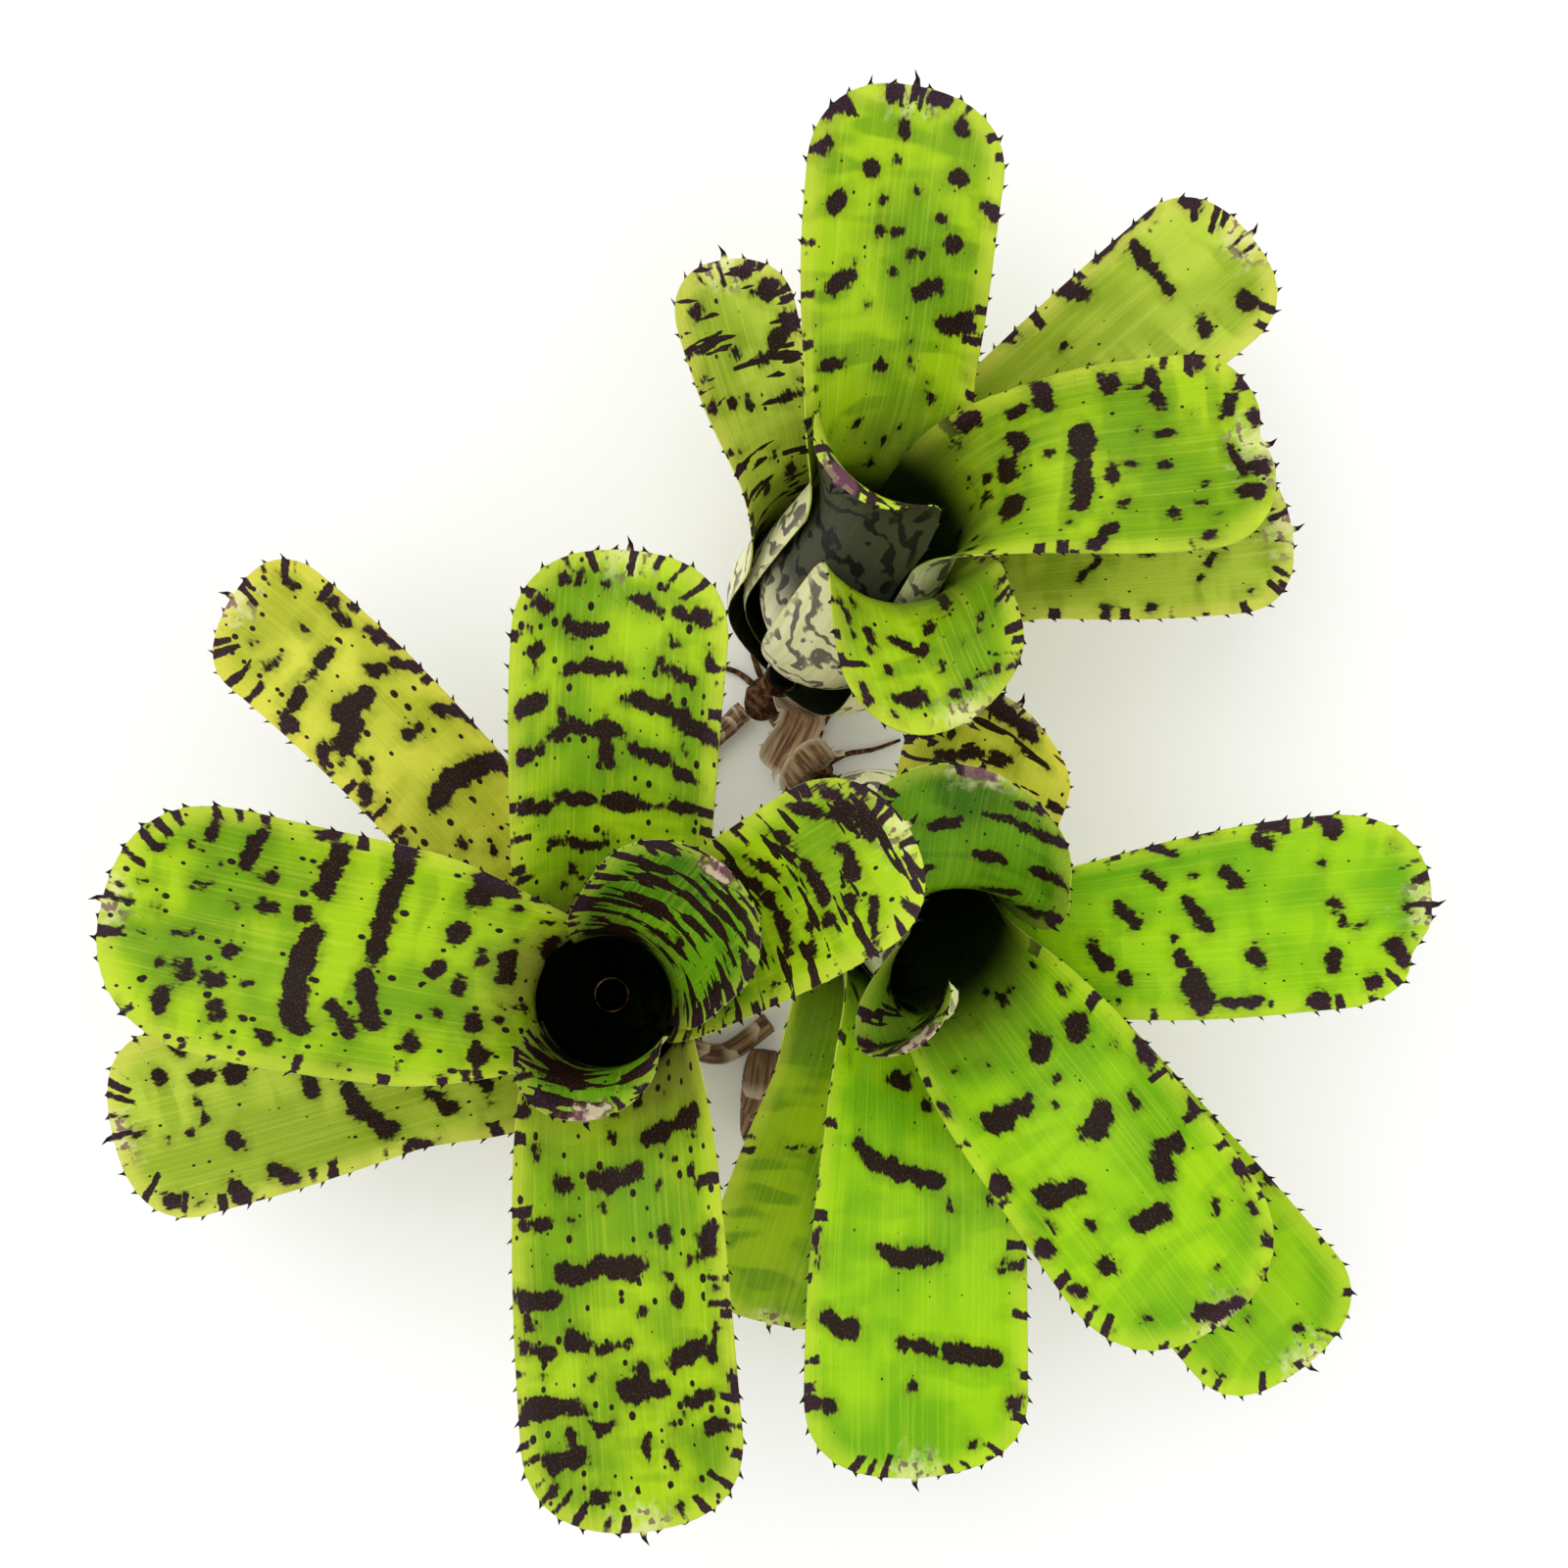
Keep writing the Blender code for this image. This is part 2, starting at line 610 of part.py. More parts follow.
def grow_roots(tank, stem):
    """Fuses the roots of one rosette to its stem, in one union."""
    chance = random.Random(f"{SEED} {tank.name}")
    group = bpy.data.collections.new(f"roots_{tank.name}")
    bpy.context.scene.collection.children.link(group)
    for number, (heading, length) in enumerate(ROOTS[tank.name]):
        mesh = root_tube(tank, heading, length, chance)
        root = finish_object(mesh, f"root_{tank.name}_{number}", WOODY)
        bpy.context.scene.collection.objects.unlink(root)
        group.objects.link(root)
    union = stem.modifiers.new("roots", "BOOLEAN")
    union.operation = "UNION"
    union.operand_type = "COLLECTION"
    union.collection = group
    union.solver = "MANIFOLD"
    union.material_mode = "INDEX"
    with bpy.context.temp_override(object=stem, active_object=stem):
        bpy.ops.object.modifier_apply(modifier=union.name)
    for root in list(group.objects):
        bpy.data.objects.remove(root, do_unlink=True)
    bpy.data.collections.remove(group)


def main():
    for old in list(bpy.data.objects):
        bpy.data.objects.remove(old, do_unlink=True)
    build_leaves()
    for tank in TANKS:
        grow_roots(tank, build_stem(tank))
    build_stolons()


main()
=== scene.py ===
"""Looks of a neoregelia clump: three spotted tank rosettes on short stolons, lying as lifted.

Sizes are in millimetres and degrees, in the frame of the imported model. Pieces are modelled in
millimetres and scaled to metres when they are finished; the floor and the lamps are in metres.
"""

import logging
import math
import random
from dataclasses import dataclass, field
from enum import Enum
from functools import lru_cache
from typing import Callable, Sequence, TypeVar, Union

import bmesh
import bpy
import numpy as np
from mathutils import Matrix, Vector


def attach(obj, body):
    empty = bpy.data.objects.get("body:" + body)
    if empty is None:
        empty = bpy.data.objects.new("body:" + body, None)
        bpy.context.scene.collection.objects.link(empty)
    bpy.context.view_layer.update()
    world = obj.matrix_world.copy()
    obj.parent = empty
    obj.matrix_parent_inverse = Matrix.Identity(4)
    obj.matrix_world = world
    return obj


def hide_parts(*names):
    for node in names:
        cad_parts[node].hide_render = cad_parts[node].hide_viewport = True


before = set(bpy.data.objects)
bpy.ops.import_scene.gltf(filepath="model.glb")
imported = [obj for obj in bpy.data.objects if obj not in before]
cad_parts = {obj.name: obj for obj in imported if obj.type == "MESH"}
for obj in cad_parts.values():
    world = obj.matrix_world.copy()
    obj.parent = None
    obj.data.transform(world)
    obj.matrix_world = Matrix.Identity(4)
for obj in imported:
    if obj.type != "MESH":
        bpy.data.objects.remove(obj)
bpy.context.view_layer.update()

LOG = logging.getLogger("clump")

MM = 0.001
SEED = 7
BODY = "root"
DEAD_LEAF = "dry"
SHARP_ANGLE = 48.0

# How finely a blade is divided: columns across it, steps along its sheath and blade, rows in the
# round of its tip, and where the rows of its end spine lie, as shares of the spine.
COLUMNS = 44
SHEATH_STEP = 2.6
BLADE_STEP = 1.1
TIP_ROWS = 20
END_SPINE_ROWS = (0.45, 1.0)

# The shape of a blade, as shares of its length from the rim of the cup to its tip.
CHANNEL_SETTLES = 0.45
CHANNEL_OPENS_FROM = 0.6
CHANNEL_OPENING = 0.25
WIDTH_SETTLES = 0.35
WIDTH_AT_START = 0.97
WIDTH_SWELL = 0.04
WIDTH_SWELLS_FROM = 0.3
WIDTH_SWELLS_OVER = 0.4
TIP_ROUNDNESS = 2.12
TWIST_SETTLES = 0.7
RIM_EASING = 6.0

# The ripple of the margins, the thickness from sheath to margin, and the top of the clump.
RIPPLE = 0.5
RIPPLE_FROM = 40.0
RIPPLE_NARROWEST = 4.0
RIPPLE_PITCH = 7.0
RIPPLE_OFFSET = 1.5
BLADE_THICKNESS = 0.8
SHEATH_THICKNESS = 0.6
MARGIN_THICKNESS = 0.34
MARGIN_FADE = 6.0
BLADE_THICKENS_OVER = 20.0
SPINE_THINNING = 0.55
HIGHEST = 107.1

# The marks: how far bands bow towards the tip at the margins, and the depth that stands for none.
MARK_BOW = 3.0
NO_MARK = -4.0

# Bands that fall by chance: where they begin and end, how their spacing, length and width vary,
# how far they tilt and slip, and the shares of rows that have one long band, and that or two.
BANDS_FROM = -26.0
BANDS_SHORT_OF_TIP = 9.0
BAND_SPACINGS = (0.75, 1.3)
BAND_LENGTHS = (0.6, 1.35)
BAND_WIDTHS = (0.7, 1.25)
BAND_TILT = 14.0
BAND_SLIP = 2.0
LONG_BANDS = 0.35
LONG_OR_PAIRED_BANDS = 0.7

# Loose spots: half widths, how much longer than wide, how many places are tried for each, and
# the part of the leaf that has them.
SPOT_SIZES = (0.4, 1.25)
SPOT_STRETCH = (1.0, 2.0)
SPOT_TRIES = 4
SPOTS_FROM = -10.0
SPOTS_SHORT_OF_TIP = 5.0
SPOTS_ACROSS = 0.9

# Blotches that sit on the margin: their spacing, how much their reach varies, and half their width.
RIM_PITCH = 4.6
RIM_REACH = 4.4
RIM_HALF_WIDTH = 1.15

# The cups: sheaths nest in layers round each axis, the innermost first.
LAYER_PITCH = 1.15
NECK_RADIUS = 13.0
BELLY_HEIGHT = 32.0
BOWL_HEIGHT = 26.0
BOWL_BOTTOM = 6.0
BOWL_STEP = 2.3
SHEATH_WRAP = 80.0

STEM_RADIUS = 3.6
STEM_FOOT_RADIUS = 5.2
STEM_FOOT_HEIGHT = 5.0
STEM_INTO_CUP = 3.0
FIRST_SHEATH_RADIUS = STEM_RADIUS + 0.7

# Teeth on the margins. The places of a tooth's neck and point are shares of its length, outwards
# and towards the tip.
SPINE_LENGTH = 1.1
SPINE_SIZES = (0.75, 1.2)
SPINE_SPACING = 4.6
SPINE_JITTER = 0.25
SPINES_FROM = 0.16
SPINES_SHORT_OF_TIP = 0.05
SPINE_SHORTEST_FOOT = 0.5
SPINE_NECK_WIDTH = 0.45
SPINE_NECK_AT = (0.3, 0.08)
SPINE_POINT_AT = (1.0, 0.55)

# The spine that ends each blade: what lies past END_SPINE_CLOSES of it closes to one point.
END_SPINE_LENGTH = 3.2
END_SPINE_BASE = 1.6
END_SPINE_NECK = 0.55
END_SPINE_CLOSES = 0.3
END_SPINE_ASIDE = 0.9

Socket = bpy.types.NodeSocket
Number = Union[float, Socket]
Plan = tuple[float, float]
Triple = tuple[float, float, float]
Rgba = tuple[float, float, float, float]
Colour = Union[Rgba, Socket]
Mark = tuple[float, float, float, float, float]
Blend = TypeVar("Blend", float, Vector)


def clamp(value: float) -> float:
    """Holds a number between nought and one."""
    return min(1.0, max(0.0, value))


def smooth(value: float) -> float:
    """Eases a share in and out."""
    value = clamp(value)
    return value * value * (3.0 - 2.0 * value)


def blend(first: Blend, second: Blend, share: float) -> Blend:
    """Mixes two numbers or two vectors."""
    return first + (second - first) * share


def paint(red: int, green: int, blue: int) -> Rgba:
    """Turns a colour as a screen shows it into the linear one that a shader takes.

    Args:
        red, green, blue: channels from 0 to 255.

    Returns:
        The linear colour with full alpha.
    """
    channels = [channel / 255.0 for channel in (red, green, blue)]
    linear = [c / 12.92 if c <= 0.04045 else ((c + 0.055) / 1.055) ** 2.4 for c in channels]
    return (linear[0], linear[1], linear[2], 1.0)


class Tone(Enum):
    """The ground colours of a leaf's upper side: its middle, its shaded parts and its margin."""

    LIME = (paint(158, 196, 14), paint(106, 152, 6), paint(206, 218, 66))
    BRIGHT = (paint(150, 202, 6), paint(104, 166, 2), paint(198, 222, 50))
    DEEP = (paint(96, 150, 8), paint(58, 106, 6), paint(176, 196, 60))
    YELLOW = (paint(204, 208, 66), paint(164, 172, 38), paint(230, 220, 84))
    STRAW = (paint(176, 200, 60), paint(140, 166, 34), paint(224, 222, 96))


@dataclass(frozen=True)
class Marks:
    """How a leaf is marked. Lengths are millimetres and shares run from nought to one.

    Attributes:
        tone: ground colours.
        pitch: distance from one bold band to the next along the blade.
        length: half length of a band, as a share of the blade's half width.
        width: half width of a band.
        spots: how many loose round spots there are.
        stripes: how much of the leaf fine cross stripes cover.
        dots: how much of the leaf has dots as small as a pinhead.
        rim: how dark the blotches are that sit on the margin.
        clouds: strength of the blurred bands that show through from the other side.
        tip: length of the pale worn patch at the tip.
        scar: length of dead papery tissue at the tip.
        dusk: length of a purple flush at the tip.
        blush: strength of the olive tint at the foot of the blade.
        cup_shade: length along the leaf at which the cup's painted shade is half full.
        shadow: how strongly painted shade, for the dark gap beside it, darkens the underside.
    """

    tone: Tone = Tone.LIME
    pitch: float = 11.0
    length: float = 0.45
    width: float = 1.7
    spots: int = 14
    stripes: float = 0.0
    dots: float = 0.5
    rim: float = 0.6
    clouds: float = 0.5
    tip: float = 6.0
    scar: float = 0.0
    dusk: float = 0.0
    blush: float = 0.3
    cup_shade: float = -2.0
    shadow: float = 0.0


@dataclass(frozen=True)
class Tank:
    """One rosette's cup.

    Attributes:
        name: which rosette it belongs to.
        foot: where its axis meets the ground.
        rim: where its axis meets the mouth.
        layers: how many layers of sheaths lie round it.
        swell: how much wider its belly is than its mouth, as a radius.
    """

    name: str
    foot: Plan
    rim: Triple
    layers: int
    swell: float = 2.6

    def base(self) -> Vector:
        """Where the axis meets the ground."""
        return Vector((self.foot[0], self.foot[1], 0.0))

    def axis(self) -> Vector:
        """Direction from the foot to the mouth."""
        return (Vector(self.rim) - self.base()).normalized()

    def depth(self) -> float:
        """Length of the axis from the ground to the mouth."""
        return (Vector(self.rim) - self.base()).length

    def across(self) -> tuple[Vector, Vector]:
        """Finds two directions across the axis.

        Returns:
            The side that +X leans to, and the side a quarter turn on from it.
        """
        axis = self.axis()
        first = Vector((1.0, 0.0, 0.0)) - axis * axis.x
        first.normalize()
        return first, axis.cross(first)

    def bottom(self, layer: int) -> float:
        """Height along the axis at which a layer's sheaths begin."""
        return BOWL_BOTTOM + BOWL_STEP * (self.layers - 1 - layer)

    def radius(self, layer: int, height: float) -> float:
        """Radius of a layer's middle surface at a height along the axis.

        Args:
            layer: number of the layer, counted from the middle.
            height: distance along the axis from the ground.

        Returns:
            The radius in millimetres.
        """
        sink = clamp((height - BELLY_HEIGHT) / (self.depth() - BELLY_HEIGHT))
        full = NECK_RADIUS + LAYER_PITCH * layer + self.swell * 0.5 * (1.0 + math.cos(math.pi * sink))
        rise = clamp((height - self.bottom(layer)) / BOWL_HEIGHT)
        return FIRST_SHEATH_RADIUS + (full - FIRST_SHEATH_RADIUS) * math.sin(0.5 * math.pi * rise)


@dataclass(frozen=True)
class Leaf:
    """One leaf: its sheath wraps the cup on one layer, and its blade runs to a tip in the open.

    Attributes:
        name: the solid that it stands for.
        layer: the sheath's layer, counted from the middle of the cup.
        depart: distance along the cup's axis at which the blade leaves it.
        tip: where the blade ends, before its spine.
        width: full width of the blade laid flat.
        pitch: how steeply the blade rises at its tip; below nought it falls.
        channel: radius of the blade's cross-section.
        rise: how strongly the blade first follows the axis of the cup.
        run: how straight it comes to its tip, as a share of its span.
        hook: how far its tip turns from the way to it, to the left as seen from above.
        swing: how far round the cup the sheath stands from the way to the tip.
        wrap: angle that the sheath covers to either side of its middle line.
        blunt: length of the tip's rounding, as a share of half the width.
        marks: how it is marked.
        notches: for each bite in its tip the place across, from -1 to 1, the depth and the width.
    """

    name: str
    layer: int
    depart: float
    tip: Triple
    width: float
    pitch: float
    channel: float
    rise: float = 20.0
    run: float = 0.4
    hook: float = 0.0
    swing: float = 0.0
    wrap: float = SHEATH_WRAP
    blunt: float = 0.85
    marks: Marks = field(default_factory=Marks)
    notches: tuple[Triple, ...] = ()


class MidLine:
    """The middle line of a leaf, from the foot of its sheath to its tip, with a frame at each point.

    A place is a length in millimetres along the leaf; lengths below zero are in the sheath and
    lengths above zero are in the blade.
    """

    STEPS = 60

    def __init__(self, tank: Tank, leaf: Leaf) -> None:
        """Finds where the leaf leaves its cup and lays its curve from there to the tip.

        Args:
            tank: the cup that it grows from.
            leaf: the leaf.
        """
        self.tank = tank
        self.leaf = leaf
        self.axis = tank.axis()
        first, second = tank.across()
        rim = tank.base() + self.axis * leaf.depart
        outward = Vector(leaf.tip) - rim
        angle = math.atan2(outward.dot(second), outward.dot(first)) + math.radians(leaf.swing)
        self.out = first * math.cos(angle) + second * math.sin(angle)
        self.side = self.axis.cross(self.out)
        self.sheath_length = leaf.depart - tank.bottom(leaf.layer)
        self.start = self.sheath_point(leaf.depart)
        self.make_blade()

    def sheath_point(self, height: float) -> Vector:
        """Point of the middle line in the sheath, at a height along the cup's axis."""
        return self.tank.base() + self.axis * height + self.out * self.tank.radius(self.leaf.layer, height)

    def make_blade(self) -> None:
        """Lays the blade's middle line as one curve with a handle at either end."""
        tip = Vector(self.leaf.tip)
        plan = Vector((tip.x - self.start.x, tip.y - self.start.y, 0.0)).normalized()
        plan = Matrix.Rotation(math.radians(self.leaf.hook), 3, "Z") @ plan
        pitch = math.radians(self.leaf.pitch)
        self.ending = plan * math.cos(pitch) + Vector((0.0, 0.0, math.sin(pitch)))
        handle = self.start + self.axis * self.leaf.rise
        pull = tip - self.ending * (tip - self.start).length * self.leaf.run
        self.points = []
        for step in range(self.STEPS + 1):
            t = step / self.STEPS
            self.points.append(
                self.start * (1 - t) ** 3
                + handle * 3 * t * (1 - t) ** 2
                + pull * 3 * t * t * (1 - t)
                + tip * t ** 3
            )
        self.lengths = [0.0]
        for before, after in zip(self.points, self.points[1:]):
            self.lengths.append(self.lengths[-1] + (after - before).length)
        self.blade_length = self.lengths[-1]
        self.tip_side = Vector((0.0, 0.0, 1.0)).cross(self.ending).normalized()

    def blade_point(self, place: float) -> tuple[Vector, Vector]:
        """Looks up the blade's middle line, which is carried on straight past the tip.

        Args:
            place: length along the blade.

        Returns:
            The point there and the direction of the line.
        """
        if place >= self.blade_length:
            return self.points[-1] + self.ending * (place - self.blade_length), self.ending
        index = int(np.searchsorted(self.lengths, place, side="right")) - 1
        index = min(max(index, 0), self.STEPS - 1)
        span = self.lengths[index + 1] - self.lengths[index]
        share = (place - self.lengths[index]) / span
        step = self.points[index + 1] - self.points[index]
        last = min(index + 2, self.STEPS)
        after = self.points[last] - self.points[last - 1]
        return self.points[index] + step * share, blend(step, after, share).normalized()

    def channel(self, place: float) -> float:
        """Radius of the leaf's cross-section: the cup's in the sheath, the blade's own further out.

        Args:
            place: length along the leaf.

        Returns:
            The radius in millimetres.
        """
        if place <= 0.0:
            return self.tank.radius(self.leaf.layer, self.leaf.depart + place)
        rim = self.tank.radius(self.leaf.layer, self.leaf.depart)
        share = place / self.blade_length
        opening = smooth((share - CHANNEL_OPENS_FROM) / (1.0 - CHANNEL_OPENS_FROM))
        radius = blend(rim, self.leaf.channel, smooth(share / CHANNEL_SETTLES))
        return radius * (1.0 + CHANNEL_OPENING * opening)

    def half_width(self, place: float) -> float:
        """Half the leaf's width when it is laid flat.

        Args:
            place: length along the leaf.

        Returns:
            The half width in millimetres.
        """
        wrap = math.radians(self.leaf.wrap)
        if place <= 0.0:
            return wrap * self.channel(place)
        rim = wrap * self.tank.radius(self.leaf.layer, self.leaf.depart)
        share = place / self.blade_length
        half = self.leaf.width / 2
        width = blend(rim, half * WIDTH_AT_START, smooth(share / WIDTH_SETTLES))
        width *= 1.0 + WIDTH_SWELL * smooth((share - WIDTH_SWELLS_FROM) / WIDTH_SWELLS_OVER)
        rounding = self.rounding()
        beyond = clamp((place - rounding) / (self.blade_length - rounding))
        return max(width * (1.0 - beyond ** TIP_ROUNDNESS) ** (1 / TIP_ROUNDNESS), END_SPINE_BASE / 2)

    def rounding(self) -> float:
        """Length along the blade at which its tip begins to round."""
        return self.blade_length - self.leaf.blunt * self.leaf.width / 2

    @lru_cache(maxsize=4096)
    def station(self, place: float) -> tuple[Vector, Vector, Vector, float]:
        """Sets up the leaf's cross-section at a length along it.

        Args:
            place: the length.

        Returns:
            The middle point, the upward normal, the side direction and the radius.
        """
        radius = self.channel(place)
        if place <= 0.0:
            return self.sheath_point(self.leaf.depart + place), -self.out, self.side, radius
        point, direction = self.blade_point(place)
        side = blend(self.side, self.tip_side, smooth(place / self.blade_length / TWIST_SETTLES))
        side = (side - direction * side.dot(direction)).normalized()
        normal = blend(-self.out, direction.cross(side), smooth(place / RIM_EASING)).normalized()
        side = (side - normal * side.dot(normal)).normalized()
        return point, normal, side, radius

    def surface(self, across: float, place: float) -> tuple[Vector, Vector]:
        """Point of the leaf's middle surface and the direction its upper side faces there.

        Args:
            across: distance to the side of the middle line, along the surface.
            place: length along the leaf.

        Returns:
            The point and the unit normal of the upper side.
        """
        point, normal, side, radius = self.station(place)
        angle = across / radius
        spot = point + normal * radius * (1.0 - math.cos(angle)) + side * radius * math.sin(angle)
        return spot, normal * math.cos(angle) - side * math.sin(angle)


@dataclass(frozen=True)
class Grain:
    """A noise or a scatter of points, as it lies on a piece.

    Attributes:
        across, along, up: turns per millimetre on each axis; a pattern with no turns up is flat.
        detail: how many finer layers lie over the first.
        shift: its own place in the noise, so that no two patterns match.
        low, high: heights of the noise between which a patch sets in.
    """

    across: float
    along: float
    up: float = 0.0
    detail: float = 2.0
    shift: float = 0.0
    low: float = 0.0
    high: float = 1.0


class NodeSheet:
    """Builds one material from short calls, so that a finish reads as a recipe."""

    NOISE_ROUGHNESS = 0.55
    SHIFT_ALONG = 0.7
    SHIFT_UP = 0.3

    def __init__(self, name: str) -> None:
        """Starts a material that has only its shader and its output.

        Args:
            name: the material's name.
        """
        self.material = bpy.data.materials.new(name)
        self.material.use_nodes = True
        self.tree = self.material.node_tree
        self.shader = next(node for node in self.tree.nodes if node.type == "BSDF_PRINCIPLED")

    def node(self, kind: str, **settings: str) -> bpy.types.Node:
        """Adds a node.

        Args:
            kind: the end of the node type's name.
            **settings: its properties.

        Returns:
            The node.
        """
        made = self.tree.nodes.new(f"ShaderNode{kind}")
        for key, value in settings.items():
            setattr(made, key, value)
        return made

    def feed(self, socket: Socket, value: Union[Number, Rgba]) -> None:
        """Links a socket, or sets a plain value on it.

        Args:
            socket: the input.
            value: the output that feeds it, or the value.
        """
        if isinstance(value, Socket):
            self.tree.links.new(value, socket)
        else:
            socket.default_value = value

    def attribute(self, name: str) -> Socket:
        """Reads a named attribute of the piece as a vector."""
        return self.node("Attribute", attribute_name=name).outputs["Vector"]

    def place(self) -> Socket:
        """Object coordinates in millimetres."""
        spot = self.node("TexCoord").outputs["Object"]
        return self.stretch(spot, (1.0 / MM, 1.0 / MM, 1.0 / MM))

    def split(self, vector: Socket) -> list[Socket]:
        """Takes a vector apart.

        Args:
            vector: the vector.

        Returns:
            Its three parts.
        """
        made = self.node("SeparateXYZ")
        self.feed(made.inputs[0], vector)
        return list(made.outputs)[:3]

    def lift(self, value: Socket) -> Socket:
        """Makes a vector of one number.

        Args:
            value: its first part; the others are nought.

        Returns:
            The vector.
        """
        made = self.node("CombineXYZ")
        self.feed(made.inputs[0], value)
        return made.outputs[0]

    def stretch(self, vector: Socket, scale: Triple, shift: Triple = (0.0, 0.0, 0.0)) -> Socket:
        """Scales a vector and then moves it.

        Args:
            vector: the vector.
            scale: factor on each axis.
            shift: what is then added.

        Returns:
            The new vector.
        """
        made = self.node("Mapping", vector_type="POINT")
        self.feed(made.inputs["Vector"], vector)
        made.inputs["Scale"].default_value = scale
        made.inputs["Location"].default_value = shift
        return made.outputs[0]

    def math(self, operation: str, first: Number, second: Number = 0.0) -> Socket:
        """Does one sum.

        Args:
            operation: the Math node's name for it.
            first, second: its numbers.

        Returns:
            The result.
        """
        made = self.node("Math", operation=operation)
        self.feed(made.inputs[0], first)
        self.feed(made.inputs[1], second)
        return made.outputs[0]

    def add(self, first: Number, second: Number) -> Socket:
        """Adds two numbers."""
        return self.math("ADD", first, second)

    def times(self, first: Number, second: Number) -> Socket:
        """Multiplies two numbers."""
        return self.math("MULTIPLY", first, second)

    def most(self, first: Number, second: Number) -> Socket:
        """The larger of two numbers."""
        return self.math("MAXIMUM", first, second)

    def least(self, first: Number, second: Number) -> Socket:
        """The smaller of two numbers."""
        return self.math("MINIMUM", first, second)

    def away(self, value: Number, gain: float) -> Socket:
        """How far a noise lies from its middle, times a gain."""
        return self.times(self.add(value, -0.5), gain)

    def step(self, value: Number, low: float, high: float) -> Socket:
        """Rises smoothly from nought at low to one at high.

        Args:
            value: the number that is looked at.
            low: where the result is nought; it may be the larger end.
            high: where the result is one.

        Returns:
            A share from nought to one.
        """
        made = self.node("MapRange", interpolation_type="SMOOTHSTEP")
        ends = (low, high, 0.0, 1.0) if low < high else (high, low, 1.0, 0.0)
        self.feed(made.inputs["Value"], value)
        for key, end in zip(("From Min", "From Max", "To Min", "To Max"), ends):
            made.inputs[key].default_value = end
        return made.outputs["Result"]

    def noise(self, where: Socket, grain: Grain, seed: float = 0.0) -> Socket:
        """Soft noise from nought to one.

        Args:
            where: place on the piece, in millimetres.
            grain: how coarse the noise is on each axis.
            seed: the piece's own place in the noise.

        Returns:
            The noise.
        """
        made = self.node("TexNoise", noise_dimensions="2D" if grain.up == 0.0 else "3D")
        made.inputs["Scale"].default_value = 1.0
        made.inputs["Detail"].default_value = grain.detail
        made.inputs["Roughness"].default_value = self.NOISE_ROUGHNESS
        shift = seed + grain.shift
        moved = (shift, shift * self.SHIFT_ALONG, shift * self.SHIFT_UP)
        self.feed(made.inputs["Vector"], self.stretch(where, (grain.across, grain.along, grain.up), moved))
        return made.outputs["Fac"]

    def patches(self, where: Socket, grain: Grain, seed: float = 0.0) -> Socket:
        """Turns a noise into patches with soft borders.

        Args:
            where: place on the piece, in millimetres.
            grain: how coarse the noise is, and where patches set in.
            seed: the piece's own place in the noise.

        Returns:
            A share from nought between the patches to one inside them.
        """
        return self.step(self.noise(where, grain, seed), grain.low, grain.high)

    def cells(self, where: Socket, grain: Grain, seed: float = 0.0) -> tuple[Socket, Socket]:
        """Scatters points over a flat pattern.

        Args:
            where: place on the piece, in millimetres.
            grain: how closely the points lie on each axis.
            seed: the piece's own place in the scatter.

        Returns:
            Distance to the nearest point, and that point's own chance number.
        """
        made = self.node("TexVoronoi", voronoi_dimensions="2D")
        made.inputs["Scale"].default_value = 1.0
        shift = seed + grain.shift
        moved = (shift, shift * self.SHIFT_ALONG, 0.0)
        self.feed(made.inputs["Vector"], self.stretch(where, (grain.across, grain.along, 0.0), moved))
        return made.outputs["Distance"], self.split(made.outputs["Color"])[0]

    def mix(self, share: Number, first: Colour, second: Colour) -> Socket:
        """Mixes two colours.

        Args:
            share: how much of the second there is.
            first, second: the colours.

        Returns:
            The mixed colour.
        """
        made = self.node("Mix", data_type="RGBA")
        self.feed(made.inputs["Factor"], share)
        self.feed(made.inputs[6], first)
        self.feed(made.inputs[7], second)
        return made.outputs[2]

    def cover(self, share: Number, strength: float, under: Colour, over: Colour) -> Socket:
        """Lays one colour over another.

        Args:
            share: where it lies, from nought to one.
            strength: how much it hides there.
            under, over: the colours.

        Returns:
            The mixed colour.
        """
        return self.mix(self.times(share, strength), under, over)

    def bump(self, height: Number, depth: float) -> None:
        """Raises the surface.

        Args:
            height: a number that rises and falls over the surface.
            depth: how far one unit of it lifts, in millimetres.
        """
        made = self.node("Bump")
        made.inputs["Strength"].default_value = 1.0
        made.inputs["Distance"].default_value = depth * MM
        self.feed(made.inputs["Height"], height)
        self.feed(self.shader.inputs["Normal"], made.outputs[0])

    def finish(self, colour: Socket, roughness: Number, specular: float = 0.3) -> bpy.types.Material:
        """Sets the shader.

        Args:
            colour: the base colour.
            roughness: how matt the surface is.
            specular: how strongly it reflects face on.

        Returns:
            The finished material.
        """
        self.feed(self.shader.inputs["Base Color"], colour)
        self.feed(self.shader.inputs["Roughness"], roughness)
        self.shader.inputs["Metallic"].default_value = 0.0
        self.shader.inputs["Specular IOR Level"].default_value = specular
        return self.material


@dataclass(frozen=True)
class LeafPlace:
    """Where a shaded point lies on its leaf laid flat, in millimetres.

    Attributes:
        plan: the point itself: across, along, nought.
        across: distance to the side of the middle line.
        along: length along the leaf from the rim of the cup.
        run: length along the margin of the margin's nearest point.
        edge: distance to the margin.
        tip: distance to the tip.
        mark: depth inside the nearest bold mark; below nought outside all.
    """

    plan: Socket
    across: Socket
    along: Socket
    run: Socket
    edge: Socket
    tip: Socket
    mark: Socket


